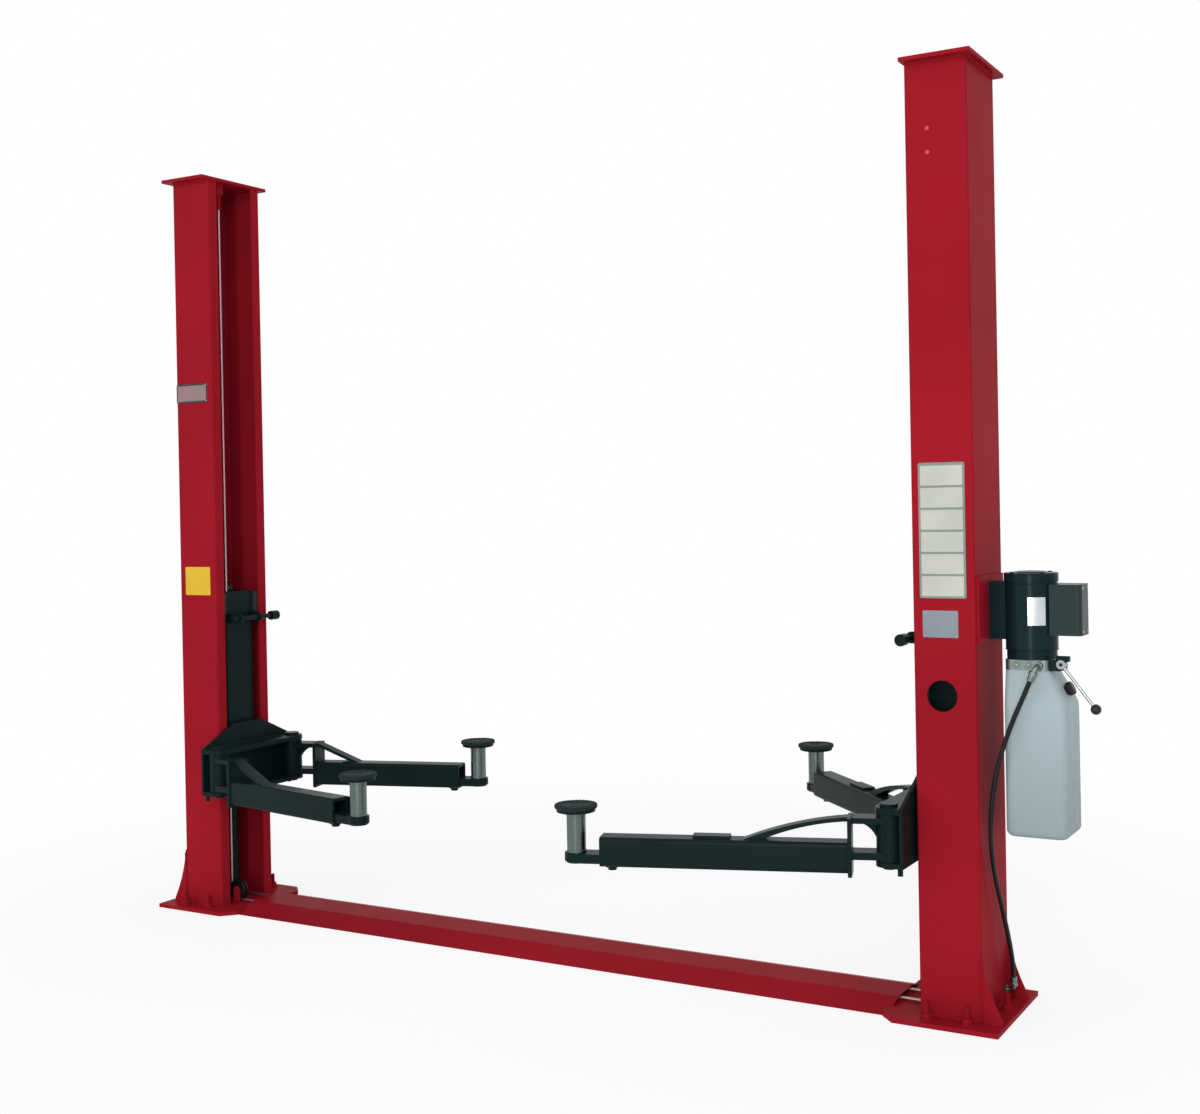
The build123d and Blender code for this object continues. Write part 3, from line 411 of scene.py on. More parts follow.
def material(name):
    """The material of that finish, made on first use."""
    if name not in bpy.data.materials:
        maker, colour, *numbers = FINISHES[name]
        if isinstance(colour, str):
            colour = tuple(getattr(bpy.context.scene.lift_colours, colour))
        maker(name, colour, *numbers)
    return bpy.data.materials[name]


def dress(finish, *nodes):
    """Gives nodes of the frame a finish in place of their plain colour."""
    for node in nodes:
        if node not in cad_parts:
            raise RuntimeError(f"the frame has no node called {node}")
        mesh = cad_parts[node].data
        mesh.materials.clear()
        mesh.materials.append(material(finish))


def grid_faces(rows, columns, wrap=True):
    """Quads of a grid of points, row by row, joined round the columns when wrap is set."""
    r, c = np.meshgrid(np.arange(rows - 1), np.arange(columns if wrap else columns - 1), indexing="ij")
    right = (c + 1) % columns
    corners = (r * columns + c, r * columns + right, (r + 1) * columns + right, (r + 1) * columns + c)
    return np.stack(corners, axis=-1).reshape(-1, 4)


def placed(name, data):
    """A new object of that data, in the scene."""
    made = bpy.data.objects.new(name, data)
    bpy.context.scene.collection.objects.link(made)
    return made


def piece(name, patches, finish, body, smooth=40.0):
    """A mesh piece from (points, faces) patches: doubles merged, normals outwards, riding on a body."""
    points, faces, count = [], [], 0
    for patch_points, patch_faces in patches:
        points.append(patch_points.reshape(-1, 3))
        faces.append(patch_faces + count)
        count += len(points[-1])
    mesh = bpy.data.meshes.new(name)
    mesh.from_pydata(np.concatenate(points).tolist(), [], np.concatenate(faces).tolist())
    shape = bmesh.new()
    shape.from_mesh(mesh)
    bmesh.ops.remove_doubles(shape, verts=shape.verts, dist=1e-6)
    bmesh.ops.recalc_face_normals(shape, faces=shape.faces)
    shape.to_mesh(mesh)
    shape.free()
    mesh.shade_smooth()
    mesh.set_sharp_from_angle(angle=radians(smooth))
    mesh.materials.append(material(finish))
    made = placed(name, mesh)
    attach(made, body)
    return made


def turns(count):
    """Angles evenly round a circle."""
    return np.linspace(0, 2 * np.pi, count, endpoint=False)


def basis(axis):
    """Two unit vectors square to an axis and to each other, and the axis at unit length."""
    axis = np.asarray(axis, float) / np.linalg.norm(axis)
    first = np.cross((0.0, 0.0, 1.0) if abs(axis[2]) < 0.9 else (1.0, 0.0, 0.0), axis)
    first /= np.linalg.norm(first)
    return first, np.cross(axis, first), axis


def rings(centre, axis, radius, height, around):
    """Rings about an axis through centre: centre plus height times the axis plus radius times
    (cos a, sin a) in the plane square to it, with one radius for each ring or for each of its points."""
    first, second, axis = basis(axis)
    angle = turns(around)[:, None]
    ring = np.cos(angle) * first + np.sin(angle) * second
    points = np.asarray(centre) + height[:, None, None] * axis + radius[..., None] * ring
    return points, grid_faces(len(height), around)


def turned(profile, centre, axis=UP, around=48):
    """A profile of (radius, height) pairs turned about an axis through centre."""
    radius, height = np.asarray(profile, float).T
    return rings(centre, axis, radius[:, None], height, around)


def nut(centre, axis, flat, height, around=48, hole=0.0):
    """A hexagon nut or bolt head: each ring's radius is the smaller of the hexagon flat/cos(a from
    the nearest flat) and the cone of the chamfer at that height."""
    hexagon = flat / np.cos((turns(around) + np.pi / 6) % (np.pi / 3) - np.pi / 6)
    level = np.array([0, 0, 0.12, 0.88, 1, 1]) * height
    limit = np.array([hole, 1.03 * flat, 1.2 * flat, 1.2 * flat, 1.0 * flat, hole])
    return rings(centre, axis, np.minimum(hexagon, limit[:, None]), level, around)


def stud(centre, axis, radius, length, pitch=0.002, around=20):
    """A threaded stud: radius less a triangle wave of height/pitch minus turn, so the thread is a helix."""
    height = np.linspace(0, length, int(length / pitch * 4) + 1)
    turn = height[:, None] / pitch - turns(around) / (2 * np.pi)
    depth = 0.6 * pitch * np.abs(turn % 1 - 0.5) * 2
    reach = np.where((height[:, None] > 0) & (height[:, None] < length), radius - depth, 0.0)
    return rings(centre, axis, reach, height, around)


def swept(path, first, second, radius, around):
    """Rings along a path: each point plus radius times (cos a, sin a) between two ways across it."""
    angle = turns(around)[:, None]
    ring = np.cos(angle) * first[:, None, :] + np.sin(angle) * second[:, None, :]
    return path[:, None, :] + radius[..., None] * ring, grid_faces(len(path), around)


def bead(start, end, radius, ripple, around=8):
    """A weld bead from start to end: circles of radius times (0.86 + 0.14 |cos(pi times distance over
    ripple)|), which fall to nothing at both ends."""
    length = np.linalg.norm(end - start)
    first, second, _ = basis(end - start)
    along = np.linspace(0, length, max(4, int(length / ripple * 3)))
    swell = 0.86 + 0.14 * np.abs(np.cos(np.pi * along / ripple))
    swell *= np.clip(np.minimum(along, length - along) / radius, 0, 1) ** 0.5
    path = start + (end - start) * (along / length)[:, None]
    return swept(path, first[None], second[None], (radius * swell)[:, None], around)


def beads(place, owner, runs, share=1.0):
    """Weld beads along runs, each a pair of points in the measures that place takes for its owner."""
    sizes = bpy.context.scene.lift_sizes
    return [bead(place(owner, *start), place(owner, *end), share * sizes.weld_radius, sizes.weld_ripple)
            for start, end in runs]


def upright(reach, across, low, high):
    """The ends of an upright run of weld."""
    return (reach, across, low), (reach, across, high)


def crosswise(reach, half, height):
    """The ends of a level run of weld across a piece's middle."""
    return (reach, -half, height), (reach, half, height)


def on_arm(arm, reach, across, height):
    """A point given along an arm from its pivot, across it and above the floor."""
    side, hand, splay, *_ = ARMS[arm]
    pivot = np.array([side * (MOUTH - PIVOT_REACH), -side * hand * PIVOT_SPREAD, height])
    along = -side * np.array([cos(radians(splay)), hand * sin(radians(splay)), 0.0])
    return pivot + reach * along + across * np.array([-along[1], along[0], 0.0])


def on_column(side, depth, across, height):
    """A point given towards the lift's middle from the column's mouth, across it and above the floor."""
    return np.array([side * (MOUTH - depth), -side * across, height])


def rounded_outline(half_x, half_y, corner, per_corner=6):
    """Rounded rectangles about their middles, one for each row of the sizes, as the x and the y of
    their points: each corner's centre plus a quarter circle."""
    angle = (np.arange(4)[:, None] * np.pi / 2 + np.linspace(0, np.pi / 2, per_corner)).ravel()
    x = np.repeat([1, -1, -1, 1], per_corner) * (half_x - corner) + corner * np.cos(angle)
    y = np.repeat([1, 1, -1, -1], per_corner) * (half_y - corner) + corner * np.sin(angle)
    return x, y


def front_plate(bounds, lift, corner, thickness):
    """A thin plate in front of a column's front flange, lifted off it and facing out. Its outline is
    carried out along the normal, then in by half the thickness, and closed on its middle."""
    left, right, bottom, top = bounds
    inset = np.array([0.0, 0.0, 0.5])[:, None] * thickness
    x, y = rounded_outline((right - left) / 2 - inset, (top - bottom) / 2 - inset, corner)
    x, y = (np.vstack([rows, 0 * rows[:1]]) for rows in (x, y))
    out = np.broadcast_to(np.array([0.0, 0.5, 1.0, 1.0])[:, None] * thickness, x.shape)
    points = np.stack([(left + right) / 2 + x, -COLUMN_HALF - lift - out, (bottom + top) / 2 + y], axis=-1)
    return points, grid_faces(*x.shape)


def curved_plate(centre, radius, middle, half, low, high, thickness, steps=24):
    """A plate bent round an upright cylinder: radius plus a lift over angle and height. The lift is the
    smaller of a row's and a column's, each the thickness inside, half of it at the rim, and then below
    the cylinder's surface."""
    soft = thickness / 2
    height = np.array([low, low, low + soft, high - soft, high, high])
    row_lift = np.array([-thickness, soft, thickness, thickness, soft, -thickness])
    inner = half - soft / radius
    turn = np.concatenate([[-half, -half], np.linspace(-inner, inner, steps), [half, half]])
    turn_lift = np.concatenate([[-thickness, soft], np.full(steps, thickness), [soft, -thickness]])
    reach = radius + np.minimum(row_lift[:, None], turn_lift)
    angle = middle + turn
    points = np.stack([centre[0] + reach * np.cos(angle), centre[1] + reach * np.sin(angle),
                       np.broadcast_to(height[:, None], reach.shape)], axis=-1)
    return points, grid_faces(len(height), len(turn), False)


def pipe(path, radius, around=24):
    """A round pipe along a path, with both ends closed: each point's ring lies square to the path's
    direction there."""
    path = np.concatenate([path[:1], path, path[-1:]])
    tangent = np.gradient(path, axis=0)
    tangent[0], tangent[-1] = path[2] - path[1], path[-2] - path[-3]
    tangent /= np.linalg.norm(tangent, axis=1)[:, None]
    helper, _, _ = basis(path[-1] - path[0])
    normal = helper - (tangent @ helper)[:, None] * tangent
    normal /= np.linalg.norm(normal, axis=1)[:, None]
    reach = np.full((len(path), 1), radius)
    reach[[0, -1]] = 0
    return swept(path, normal, np.cross(tangent, normal), reach, around)


def bent(start, corner, end, radius, steps=10):
    """Points of a run from start to end that turns at corner along a quadratic curve, which leaves
    the two straight parts at the given distance from the corner."""
    first = corner + (start - corner) / np.linalg.norm(start - corner) * radius
    last = corner + (end - corner) / np.linalg.norm(end - corner) * radius
    t = np.linspace(0, 1, steps)[:, None]
    arc = (1 - t) ** 2 * first + 2 * t * (1 - t) * corner + t ** 2 * last
    return np.concatenate([[start], arc, [end]])


class LIFT_OT_steelwork(Operator):
    """Red enamel on the columns, plates, cover and tie, with their welds and screws"""

    bl_idname = "carlift.steelwork"
    bl_label = "Columns and floor"

    def execute(self, context):
        dress("red_enamel", "column_left", "column_right", "top_plates", "base_plates", "floor_cover",
              "tie_plate", "unit_plate")
        welds, screws = [], []
        for side in SIDES.values():
            welds += beads(on_column, side, self.runs(-COLUMN_DEPTH))
            for height in SCREW_LEVELS:
                centre = on_column(side, -SCREW_DEPTH, COLUMN_HALF - 0.0005, height)
                screws.append(turned(SCREW_PROFILE, centre, (0, -side, 0), 24))
        piece("column_welds", welds, "red_enamel", "root")
        # The screw heads get a lighter red as a painted highlight
        piece("column_screws", screws, "screw_paint", "root")
        return {"FINISHED"}

    def runs(self, back):
        """The welds of one column: its gussets, its flanges at both ends, its lips and its back."""
        found = []
        for hand in (-1, 1):
            for face in (-GUSSET_HALF, GUSSET_HALF):
                across = hand * (COLUMN_HALF - GUSSET_HALF) + face
                found.append(upright(back, across, PLATE_TOP, GUSSET_TOP))
                found.append(((back, across, PLATE_TOP), (back - GUSSET_REACH, across, PLATE_TOP)))
            flange = hand * COLUMN_HALF
            found += [((-COLUMN_BEND, flange, level), (back + COLUMN_BEND, flange, level))
                      for level in (PLATE_TOP, COLUMN_TOP)]
            corner = hand * (COLUMN_HALF - COLUMN_BEND)
            found.append(((0, corner, PLATE_TOP), (0, hand * LIP_EDGE, PLATE_TOP)))
        return found + [crosswise(back, BACK_RUN, level) for level in (PLATE_TOP, COLUMN_TOP)]


class LIFT_OT_anchors(Operator):
    """Anchor bolts with washers, chamfered nuts and threaded studs"""

    bl_idname = "carlift.anchors"
    bl_label = "Anchor bolts"

    def execute(self, context):
        radius, length, washer, flat, height = 0.008, 0.0518, 0.004, 0.013, 0.0138
        edge, beside = 0.034, COLUMN_HALF + 0.038
        places = [(depth, way * beside) for depth in (-edge, edge - COLUMN_DEPTH) for way in (1, -1)]
        patches = []
        for side in SIDES.values():
            for depth, across in (*places, (-COLUMN_DEPTH - edge, 0)):
                foot = on_column(side, depth, across, PLATE_TOP)
                patches += [turned(WASHER_PROFILE, foot, around=32),
                            nut(foot + (0, 0, washer), UP, flat, height, hole=radius - 0.001),
                            stud(foot, UP, radius, length)]
        made = piece("anchor_set", patches, "red_enamel", "root", 30)
        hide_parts("anchor_bolts")
        return {"FINISHED"}


class LIFT_OT_ropes(Operator):
    """Equalizer ropes of six strands, with their terminals and base pulleys"""

    bl_idname = "carlift.ropes"
    bl_label = "Ropes and pulleys"

    def execute(self, context):
        sizes = context.scene.lift_sizes
        made = [piece(f"equalizer_rope_{name}", [self.rope(side, sizes)], "rope_steel", "root",
                      75) for name, side in SIDES.items()]
        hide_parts("equalizer_cables")
        dress("red_enamel", "cable_terminals", "pulley_brackets")
        dress("dull_steel", "base_pulleys")
        return {"FINISHED"}

    def rope(self, side, sizes, around=24):
        """The rope's path is a U of straight runs and quarter circles, resampled by its length. The
        radius round it is the strands' lobes, R times (0.84 + 0.16 |cos 3(a - twist)|)."""
        near, far = side * (MOUTH + CABLE_FRONT), -side * (MOUTH + CABLE_BACK)
        turn = np.linspace(0, np.pi / 2, 13)
        leaving, meeting = PULLEY_RADIUS * (1 - np.cos(turn)), PULLEY_RADIUS * (1 - np.sin(turn))
        x = np.concatenate([[near], near - side * leaving, far + side * meeting, [far]])
        z = np.concatenate([[CABLE_TOP], CABLE_HEIGHT + meeting, CABLE_HEIGHT + leaving, [CABLE_TOP]])
        distance = np.concatenate([[0], np.cumsum(np.hypot(np.diff(x), np.diff(z)))])
        along = np.linspace(0, distance[-1], int(distance[-1] / CABLE_STEP))
        path = np.stack([np.interp(along, distance, x), np.full_like(along, side * CABLE_OFFSET),
                         np.interp(along, distance, z)], axis=-1)
        tangent = np.gradient(path, axis=0)
        tangent /= np.linalg.norm(tangent, axis=1)[:, None]
        across = np.array([[0.0, 1.0, 0.0]])
        twist = 2 * np.pi * along / sizes.rope_lay
        lobes = 0.84 + 0.16 * np.abs(np.cos(3 * (turns(around) - twist[:, None])))
        lobes[[0, -1]] = 0
        return swept(path, np.cross(tangent, across), across, sizes.rope_diameter / 2 * lobes, around)


class LIFT_OT_cylinders(Operator):
    """Lifting cylinders, their rods and chain wheels"""

    bl_idname = "carlift.cylinders"
    bl_label = "Cylinders"

    def execute(self, context):
        dress("green_enamel", "cylinder_barrels")
        for name in SIDES:
            dress("dull_steel", f"cylinder_rod_{name}", f"chain_wheel_{name}")
        return {"FINISHED"}


class LIFT_OT_carriages(Operator):
    """Carriages with their slide blocks, pivot pins, lock bars and welds"""

    bl_idname = "carlift.carriages"
    bl_label = "Carriages"

    def execute(self, context):
        for name, side in SIDES.items():
            dress("green_enamel", f"carriage_{name}", f"lock_knob_{name}", f"pivot_pins_{name}")
            dress("slide_nylon", f"slide_blocks_{name}")
            runs = [upright(depth, hand * half, low, high)
                    for hand in (-1, 1) for depth, half, low, high in CARRIAGE_UPRIGHTS]
            runs += [crosswise(CARRIAGE_FRONT, CARRIAGE_HALF, height) for height in CARRIAGE_LEVELS]
            piece(f"carriage_welds_{name}", beads(on_column, side, runs), "green_enamel", f"carriage_{name}")
        return {"FINISHED"}


class LIFT_OT_arms(Operator):
    """Swing arms with their welds and stop bolts"""

    bl_idname = "carlift.arms"
    bl_label = "Swing arms"

    def execute(self, context):
        for name, (*_, tube, brace, _) in ARMS.items():
            dress("green_enamel", f"arm_outer_{name}", f"arm_inner_{name}")
            piece(f"arm_welds_{name}", beads(on_arm, name, self.runs(END_FACE + brace), 0.9), "green_enamel",
                  f"arm_{name}")
            below = on_arm(name, END_FACE + tube - STOP_INSET, 0, TUBE_BOTTOM)
            bolt = [turned(STOP_PROFILE, below, DOWN, 32), nut(below - (0, 0, 0.006), DOWN, 0.0130, 0.0085)]
            piece(f"stop_bolt_{name}", bolt, "green_enamel", f"arm_{name}", 30)
        return {"FINISHED"}

    def runs(self, brace_end):
        """The welds of one arm: its tube's four sides, both ends of its brace and its ears."""
        found = [upright(END_FACE, across, *TUBE_WELD) for across in (-TUBE_SIDE, TUBE_SIDE)]
        found += [crosswise(END_FACE, TUBE_RUN, height) for height in (TUBE_TOP, TUBE_BOTTOM)]
        for across in (-BRACE_HALF, BRACE_HALF):
            found.append(((brace_end - 0.07, across, TUBE_TOP), (brace_end - 0.004, across, TUBE_TOP)))
            found.append(upright(END_FACE, across, *BRACE_LEVELS))
        return found + [crosswise(END_BACK, EAR_RUN, height) for height in EAR_LEVELS]


class LIFT_OT_pads(Operator):
    """Turned posts, dishes and ribbed rubber pads"""

    bl_idname = "carlift.pads"
    bl_label = "Lifting pads"

    def execute(self, context):
        ribs = context.scene.lift_sizes.pad_ribs
        for name, (*_, reach) in ARMS.items():
            body, foot = f"pad_{name}", on_arm(name, reach, 0, 0)
            post = piece(f"turned_post_{name}", [turned(POST_PROFILE, foot)], "post_steel", body)
            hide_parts(f"pad_post_{name}")
            piece(f"pad_dish_{name}", [turned(DISH_PROFILE, foot, around=72)], "green_enamel", body)
            rubber = self.pad(foot, ribs)
            made = piece(f"rubber_pad_{name}", [rubber], "ribbed_rubber", body, 50)
            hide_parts(f"lifting_pad_{name}")
        return {"FINISHED"}

    def pad(self, foot, ribs, rib_depth=0.0014):
        """A round pad: the height on its top is a dish with rings, and on its rim it is cut by ribs
        where cos(n a) is below 0, with flanks three times as steep as the wave."""
        radius, height = np.array(PAD_PROFILE).T[..., None]
        angle = np.linspace(0, 2 * np.pi, 6 * ribs, endpoint=False)
        on_rim = (radius > 0.049) & (height > 0.0115)
        level = PAD_SEAT + height + rib_depth * on_rim * np.clip(3 * np.cos(ribs * angle), -1, 0)
        x, y = foot[0] + radius * np.cos(angle), foot[1] + radius * np.sin(angle)
        return np.stack([x, y, level], axis=-1), grid_faces(*level.shape)


class LIFT_OT_power_unit(Operator):
    """Motor, capacitor box, pump body, valve, lever and bracket"""

    bl_idname = "carlift.power_unit"
    bl_label = "Power unit"

    def execute(self, context):
        dress("black_enamel", "motor", "unit_bracket", "release_valve")
        dress("box_enamel", "capacitor_box")
        dress("casting", "pump_manifold")
        dress("zinc_plate", "release_lever")
        dress("moulded_black", "lever_ball")
        axis = np.array([MOTOR_X, 0.0, 0.0])
        piece("motor_trim", self.trim(axis), "black_enamel", "root")
        plate = curved_plate(axis, BODY_RADIUS, *PLATE_ANGLES, *PLATE_LEVELS, 0.0009)
        piece("motor_plate", [plate], "bright_plate", "root")
        piece("pump_plugs", self.plugs(), "fitting_steel", "root")
        screws = [turned(BOX_SCREW_PROFILE, (BOX_END, *place), (1, 0, 0), 24) for place in BOX_SCREWS]
        piece("box_screws", screws, "zinc_plate", "root")
        return {"FINISHED"}

    def trim(self, axis):
        """The motor's two seams as low beads round its body, a shallow dome on its top and four bolt
        heads there."""
        top, circle = axis + (0, 0, MOTOR_TOP), 0.062
        patches = [turned(np.array(SEAM_PROFILE) + (BODY_RADIUS, level), axis, around=96)
                   for level in SEAM_LEVELS]
        patches.append(turned(DOME_PROFILE, top, around=72))
        angle = turns(4) + np.pi / 4
        spots = top + circle * np.stack([np.cos(angle), np.sin(angle), 0 * angle], axis=-1)
        return patches + [nut(spot, UP, 0.0052, 0.0026) for spot in spots]

    def plugs(self):
        """Hexagon plugs on the front and back of the pump body."""
        patches, collar = [], 0.0015
        for x, way in PLUGS:
            foot = np.array([MOTOR_X + x, way * MANIFOLD_HALF, PLUG_LEVEL])
            patches += [turned(PLUG_PROFILE, foot, (0, way, 0), 32),
                        nut(foot + (0, way * collar, 0), (0, way, 0), 0.0072, 0.0055)]
        return patches


class LIFT_OT_tank(Operator):
    """Blown oil tank of milky plastic with its ribbed filler cap"""

    bl_idname = "carlift.tank"
    bl_label = "Oil tank"

    def execute(self, context):
        tank = piece("blown_oil_tank", [self.tank()], "blown_tank", "root", 75)
        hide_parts("oil_tank")
        cap = piece("ribbed_cap", [self.cap()], "moulded_black", "root", 50)
        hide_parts("filler_cap")
        return {"FINISHED"}

    def tank(self):
        """Rounded squares stacked by height. Below, their sides come in over a quarter circle. Above,
        sides and middle run to the neck's by (u + the root of u squared plus 0.012) / 2, a straight
        shoulder with a soft bend at its foot, u being the height above it over the shoulder's rise."""
        foot, edge = 0.020, 0.026
        turn = np.linspace(0, np.pi / 2, 9)
        body = np.concatenate([np.linspace(0.06, 0.30, 5), np.linspace(0.33, TANK_TOP - TANK_BOTTOM, 30)])
        height = np.concatenate([[0], foot * (1 - np.cos(turn)), body])
        inset = np.concatenate([[1], foot * (1 - np.sin(turn)), 0 * body])
        rise = (height + TANK_BOTTOM - TANK_SHOULDER) / (TANK_TOP - TANK_SHOULDER)
        share = (rise + np.sqrt(rise ** 2 + 0.012)) / 2
        half = np.maximum(TANK_HALF - inset - share * (TANK_HALF - MANIFOLD_HALF), 0)
        middle = TANK_X - share * (TANK_X - MOTOR_X)
        corner = np.minimum(np.maximum(edge - inset / 2 - 0.004 * share, 0.008), half)
        height, half, middle, corner = (
            np.append(values, last)[:, None] for values, last in
            ((height, height[-1]), (half, 0.0), (middle, MOTOR_X), (corner, 0.0)))
        x, y = rounded_outline(half, half, corner, 9)
        z = np.broadcast_to(TANK_BOTTOM + height, x.shape)
        return np.stack([middle + x, y, z], axis=-1), grid_faces(*x.shape)

    def cap(self, up_slope=0.38, ribs=30, around=180):
        """A cap turned about the shoulder's normal, its skirt's radius varied by cos(30 a)."""
        run, rise = TANK_X + TANK_HALF - MOTOR_X - MANIFOLD_HALF, TANK_TOP - TANK_SHOULDER
        foot = (TANK_X + TANK_HALF - up_slope * run, 0.0, TANK_SHOULDER + up_slope * rise)
        radius, height = np.array(CAP_PROFILE).T
        ribbed = ((radius > 0.0185) & (height > 0.004))[:, None]
        reach = radius[:, None] - 0.0006 * ribbed * (1 - np.cos(ribs * turns(around)))
        return rings(foot, (rise, 0, run), reach, height, around)


class LIFT_OT_hose(Operator):
    """Hydraulic hose from the pump down to the foot of the right column, with its end fittings"""

    bl_idname = "carlift.hose"
    bl_label = "Hydraulic hose"

    def execute(self, context):
        sizes = context.scene.lift_sizes
        curve = bpy.data.curves.new("hose_line", "CURVE")
        curve.dimensions = "3D"
        curve.bevel_depth = sizes.hose_diameter / 2
        curve.bevel_resolution = 6
        curve.resolution_u = 12
        curve.use_fill_caps = True
        spline = curve.splines.new("NURBS")
        spline.points.add(len(HOSE_ROUTE) - 1)
        for point, place in zip(spline.points, HOSE_ROUTE):
            point.co = (*place, 1)
        spline.order_u = 3
        spline.use_endpoint_u = True
        curve.materials.append(material("hose_cover"))
        hose = placed("oil_hose", curve)
        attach(hose, "root")
        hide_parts("hydraulic_hose")
        top, below, above, bottom = (np.array(HOSE_ROUTE[k]) for k in (0, 1, -2, -1))
        patches = self.fitting(top, top - below, 1, -MANIFOLD_HALF)
        patches += self.fitting(bottom, bottom - above, 0, OUTER_FACE)
        ends = piece("hose_ends", patches, "fitting_steel", "root")
        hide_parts("hose_fittings")
        return {"FINISHED"}

    def fitting(self, end, way, axis, face, flat=0.0112, bend=0.012, bore=0.0068):
        """A crimped sleeve over the hose's end, a swivel nut, a bent pipe and a nut on the face that it
        lands on, which is square to the given axis. The sleeve is turned with three grooves."""
        way = way / np.linalg.norm(way)
        corner = end + 0.026 * way
        land = corner.copy()
        land[axis] = face
        inward = (land - corner) / np.linalg.norm(land - corner)
        sleeve = [(0.0, -0.016), (0.0104, -0.016), (0.0106, -0.0145)]
        for groove in (-0.0125, -0.0085, -0.0045):
            sleeve += [(0.0106, groove), (0.0098, groove + 0.0006), (0.0098, groove + 0.0018),
                       (0.0106, groove + 0.0024)]
        sleeve += [(0.0104, 0.001), (0.0, 0.001)]
        return [turned(sleeve, end, way, 48), nut(end + 0.001 * way, way, flat, 0.0105),
                pipe(bent(end + 0.008 * way, corner, land + 0.001 * inward, bend), bore),
                nut(land, -inward, flat, 0.0095)]


class LIFT_OT_plates(Operator):
    """Blank notice and name plates on the columns"""

    bl_idname = "carlift.plates"
    bl_label = "Blank plates"

    def execute(self, context):
        thickness = context.scene.lift_sizes.plate_thickness
        for name, finish, patches in (
                ("notice_panel", "panel_border", [front_plate(NOTICE_PANEL, 0, 0.006, thickness)]),
                ("notice_fields", "panel_field", self.fields(thickness)),
                ("small_panel", "grey_plate", [front_plate(SMALL_PANEL, 0, 0.003, thickness)]),
                ("side_panel", "slate_plate", [front_plate(SIDE_PANEL, 0, 0.004, thickness)]),
                ("side_field", "name_field", [front_plate(SIDE_FIELD, thickness, 0.003, FIELD_DEPTH)]),
                ("square_panel", "yellow_vinyl", [front_plate(SQUARE_PANEL, 0, 0.004, thickness)])):
            piece(name, patches, finish, "root", 30)
        piece("plate_rivets", self.rivets(thickness), "zinc_plate", "root")
        return {"FINISHED"}

    def fields(self, thickness, count=6, border=0.0065, head=0.009):
        """Blank fields of one height on the notice panel, a border apart."""
        left, right, bottom, top = NOTICE_PANEL
        levels = np.linspace(bottom + border, top - head + border, count + 1)
        left, right = left + border, right - border
        return [front_plate((left, right, low, high - border), thickness, 0.003, FIELD_DEPTH)
                for low, high in zip(levels, levels[1:])]

    def rivets(self, thickness, edge=0.0055):
        """Rivets at the corners of the two name plates."""
        return [turned(RIVET_PROFILE, (x, -COLUMN_HALF - thickness, z), (0, -1, 0), 20)
                for left, right, bottom, top in (SMALL_PANEL, SIDE_PANEL)
                for x in (left + edge, right - edge) for z in (bottom + edge, top - edge)]


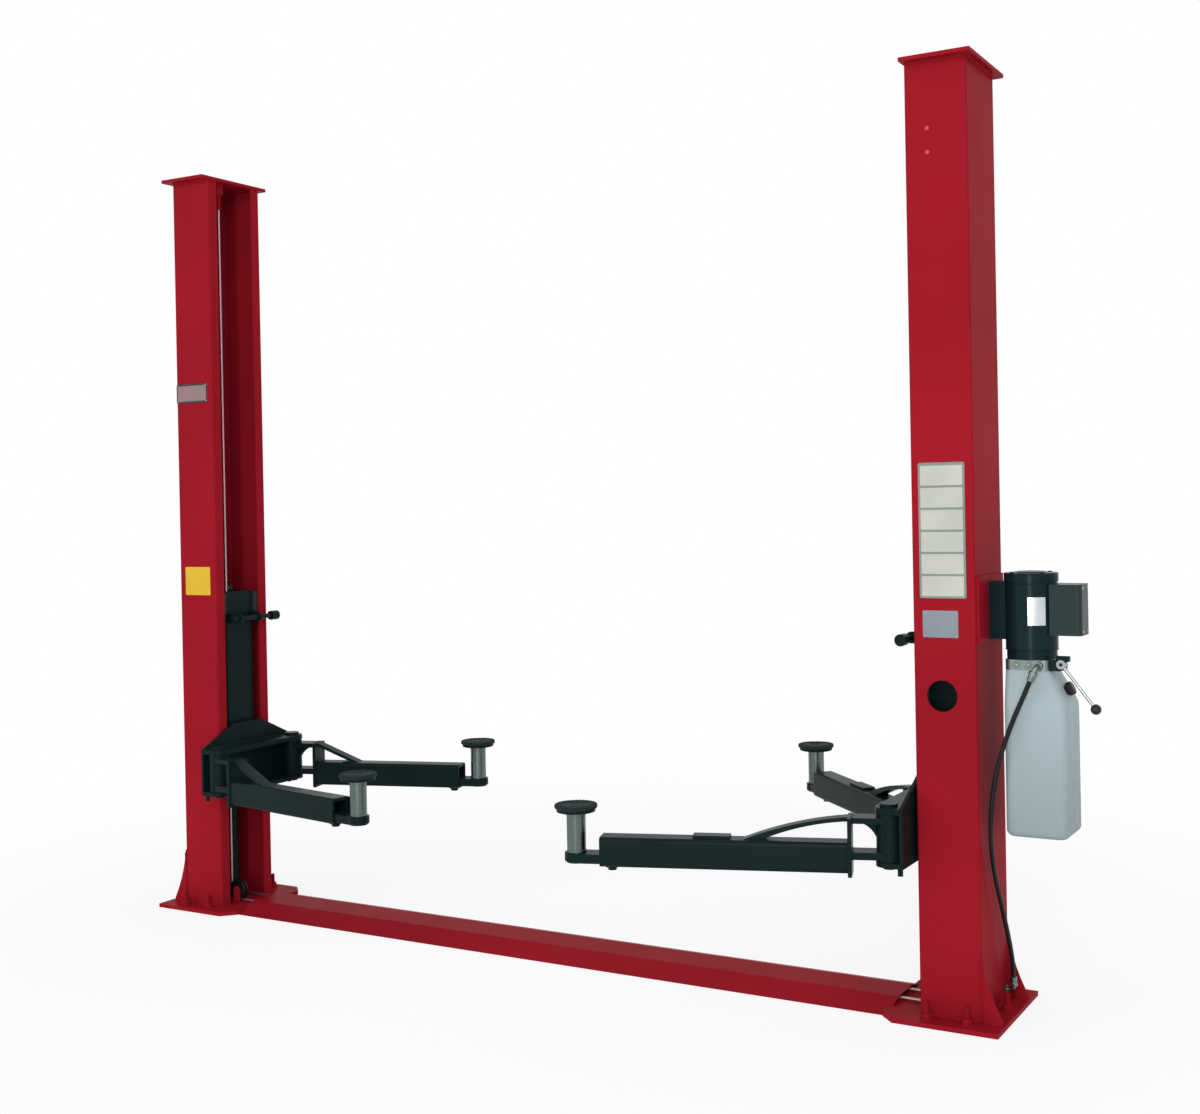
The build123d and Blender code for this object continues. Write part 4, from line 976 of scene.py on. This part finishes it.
class LIFT_OT_stage(Operator):
    """White floor, soft lamps, even world light and the camera"""

    bl_idname = "carlift.stage"
    bl_label = "Stage"

    def execute(self, context):
        settings = context.scene.lift_stage
        self.floor(settings)
        self.world(context.scene, settings)
        for name, (place, target, width, height, power) in LAMPS.items():
            data = bpy.data.lights.new(name, "AREA")
            data.shape = "RECTANGLE"
            data.size = width
            data.size_y = height
            data.energy = getattr(settings, power)
            lamp = placed(name, data)
            lamp.location = place
            lamp.rotation_euler = (Vector(target) - lamp.location).to_track_quat("-Z", "Y").to_euler()
        self.camera(context.scene)
        return {"FINISHED"}

    def seen(self, tree):
        """1 where the camera looks, directly, in a reflection or through glass, and 0 elsewhere."""
        ray = add_node(tree, "LightPath").outputs
        either = calculated(tree, "MAXIMUM", ray["Is Camera Ray"], ray["Is Glossy Ray"])
        return calculated(tree, "MAXIMUM", either, ray["Is Transmission Ray"])

    def floor(self, settings):
        """A floor that the camera sees as plain white far off, and near the lift with soft shadows too."""
        mesh = bpy.data.meshes.new("floor")
        corners = [(x * FLOOR_HALF, y * FLOOR_HALF, 0) for x, y in ((-1, -1), (1, -1), (1, 1), (-1, 1))]
        mesh.from_pydata(corners, [], [(0, 1, 2, 3)])
        paint = bpy.data.materials.new("floor_white")
        paint.use_nodes = True
        tree = paint.node_tree
        shader = tree.nodes["Principled BSDF"]
        shader.inputs["Base Color"].default_value = (0.93, 0.93, 0.93, 1)
        shader.inputs["Roughness"].default_value = 0.9
        shader.inputs["Specular IOR Level"].default_value = 0.0
        glow = add_node(tree, "Emission", values={"Color": WHITE})
        away = add_node(tree, "VectorMath", {0: add_node(tree, "TexCoord").outputs["Object"]})
        away.operation = "LENGTH"
        fade = map_range(tree, away.outputs["Value"], FLOOR_FADE, (settings.floor_glow, 1.0), "SMOOTHSTEP")
        share = calculated(tree, "MULTIPLY", self.seen(tree), fade)
        mixed(tree, share, shader, glow, "Material Output")
        mesh.materials.append(paint)
        ground = placed("floor", mesh)

    def world(self, scene, settings):
        """Even light all round, and plain white wherever the camera sees past the lift."""
        world = bpy.data.worlds.new("studio")
        world.use_nodes = True
        even = world.node_tree.nodes["Background"]
        even.inputs["Color"].default_value = WHITE
        even.inputs["Strength"].default_value = settings.world_strength
        backdrop = add_node(world.node_tree, "Background", values={"Color": WHITE, "Strength": 1.0})
        mixed(world.node_tree, self.seen(world.node_tree), even, backdrop, "World Output")
        scene.world = world
        scene.view_settings.view_transform = "Standard"

    def camera(self, scene):
        """Looks along the yaw and pitch, with its right and up turned about that by the roll."""
        yaw, pitch, roll = (radians(angle) for angle in CAMERA_ANGLES)
        forward = Vector((-sin(yaw) * cos(pitch), cos(yaw) * cos(pitch), sin(pitch)))
        right = Vector((cos(yaw), sin(yaw), 0))
        up = right.cross(forward)
        right, up = cos(roll) * right + sin(roll) * up, cos(roll) * up - sin(roll) * right
        data = bpy.data.cameras.new("camera")
        data.sensor_width = 36
        data.lens = CAMERA_LENS
        data.shift_x = (PICTURE[0] / 2 - AXIS_POINT[0]) / PICTURE[0]
        data.shift_y = (AXIS_POINT[1] - PICTURE[1] / 2) / PICTURE[0]
        data.clip_end = 200
        camera = placed("camera", data)
        camera.matrix_world = (Matrix.Translation(CAMERA_PLACE)
                               @ Matrix((right, up, -forward)).transposed().to_4x4())
        scene.camera = camera


class LIFT_PT_panel(Panel):
    """Sizes, colours and pieces of the lift"""

    bl_idname = "LIFT_PT_panel"
    bl_label = "Two Post Car Lift"
    bl_space_type = "VIEW_3D"
    bl_region_type = "UI"
    bl_category = "Car Lift"

    def draw(self, context):
        layout = self.layout
        for group in (context.scene.lift_colours, context.scene.lift_sizes, context.scene.lift_stage):
            box = layout.box()
            for name in group.bl_rna.properties.keys():
                if name not in ("rna_type", "name"):
                    box.prop(group, name)
        for operator in OPERATORS:
            layout.operator(operator.bl_idname)


OPERATORS = (LIFT_OT_stage, LIFT_OT_hose, LIFT_OT_steelwork, LIFT_OT_anchors, LIFT_OT_ropes,
             LIFT_OT_cylinders, LIFT_OT_carriages, LIFT_OT_arms, LIFT_OT_pads, LIFT_OT_power_unit,
             LIFT_OT_tank, LIFT_OT_plates)
GROUPS = (("lift_colours", LiftColours), ("lift_sizes", LiftSizes), ("lift_stage", LiftStage))


def register():
    for name, group in GROUPS:
        bpy.utils.register_class(group)
        setattr(bpy.types.Scene, name, PointerProperty(type=group))
    for made in (*OPERATORS, LIFT_PT_panel):
        bpy.utils.register_class(made)


def unregister():
    for made in reversed((*OPERATORS, LIFT_PT_panel)):
        bpy.utils.unregister_class(made)
    for name, group in reversed(GROUPS):
        delattr(bpy.types.Scene, name)
        bpy.utils.unregister_class(group)


def main():
    register()
    for operator in OPERATORS:
        group, name = operator.bl_idname.split(".")
        getattr(getattr(bpy.ops, group), name)()


if __name__ == "__main__":
    main()
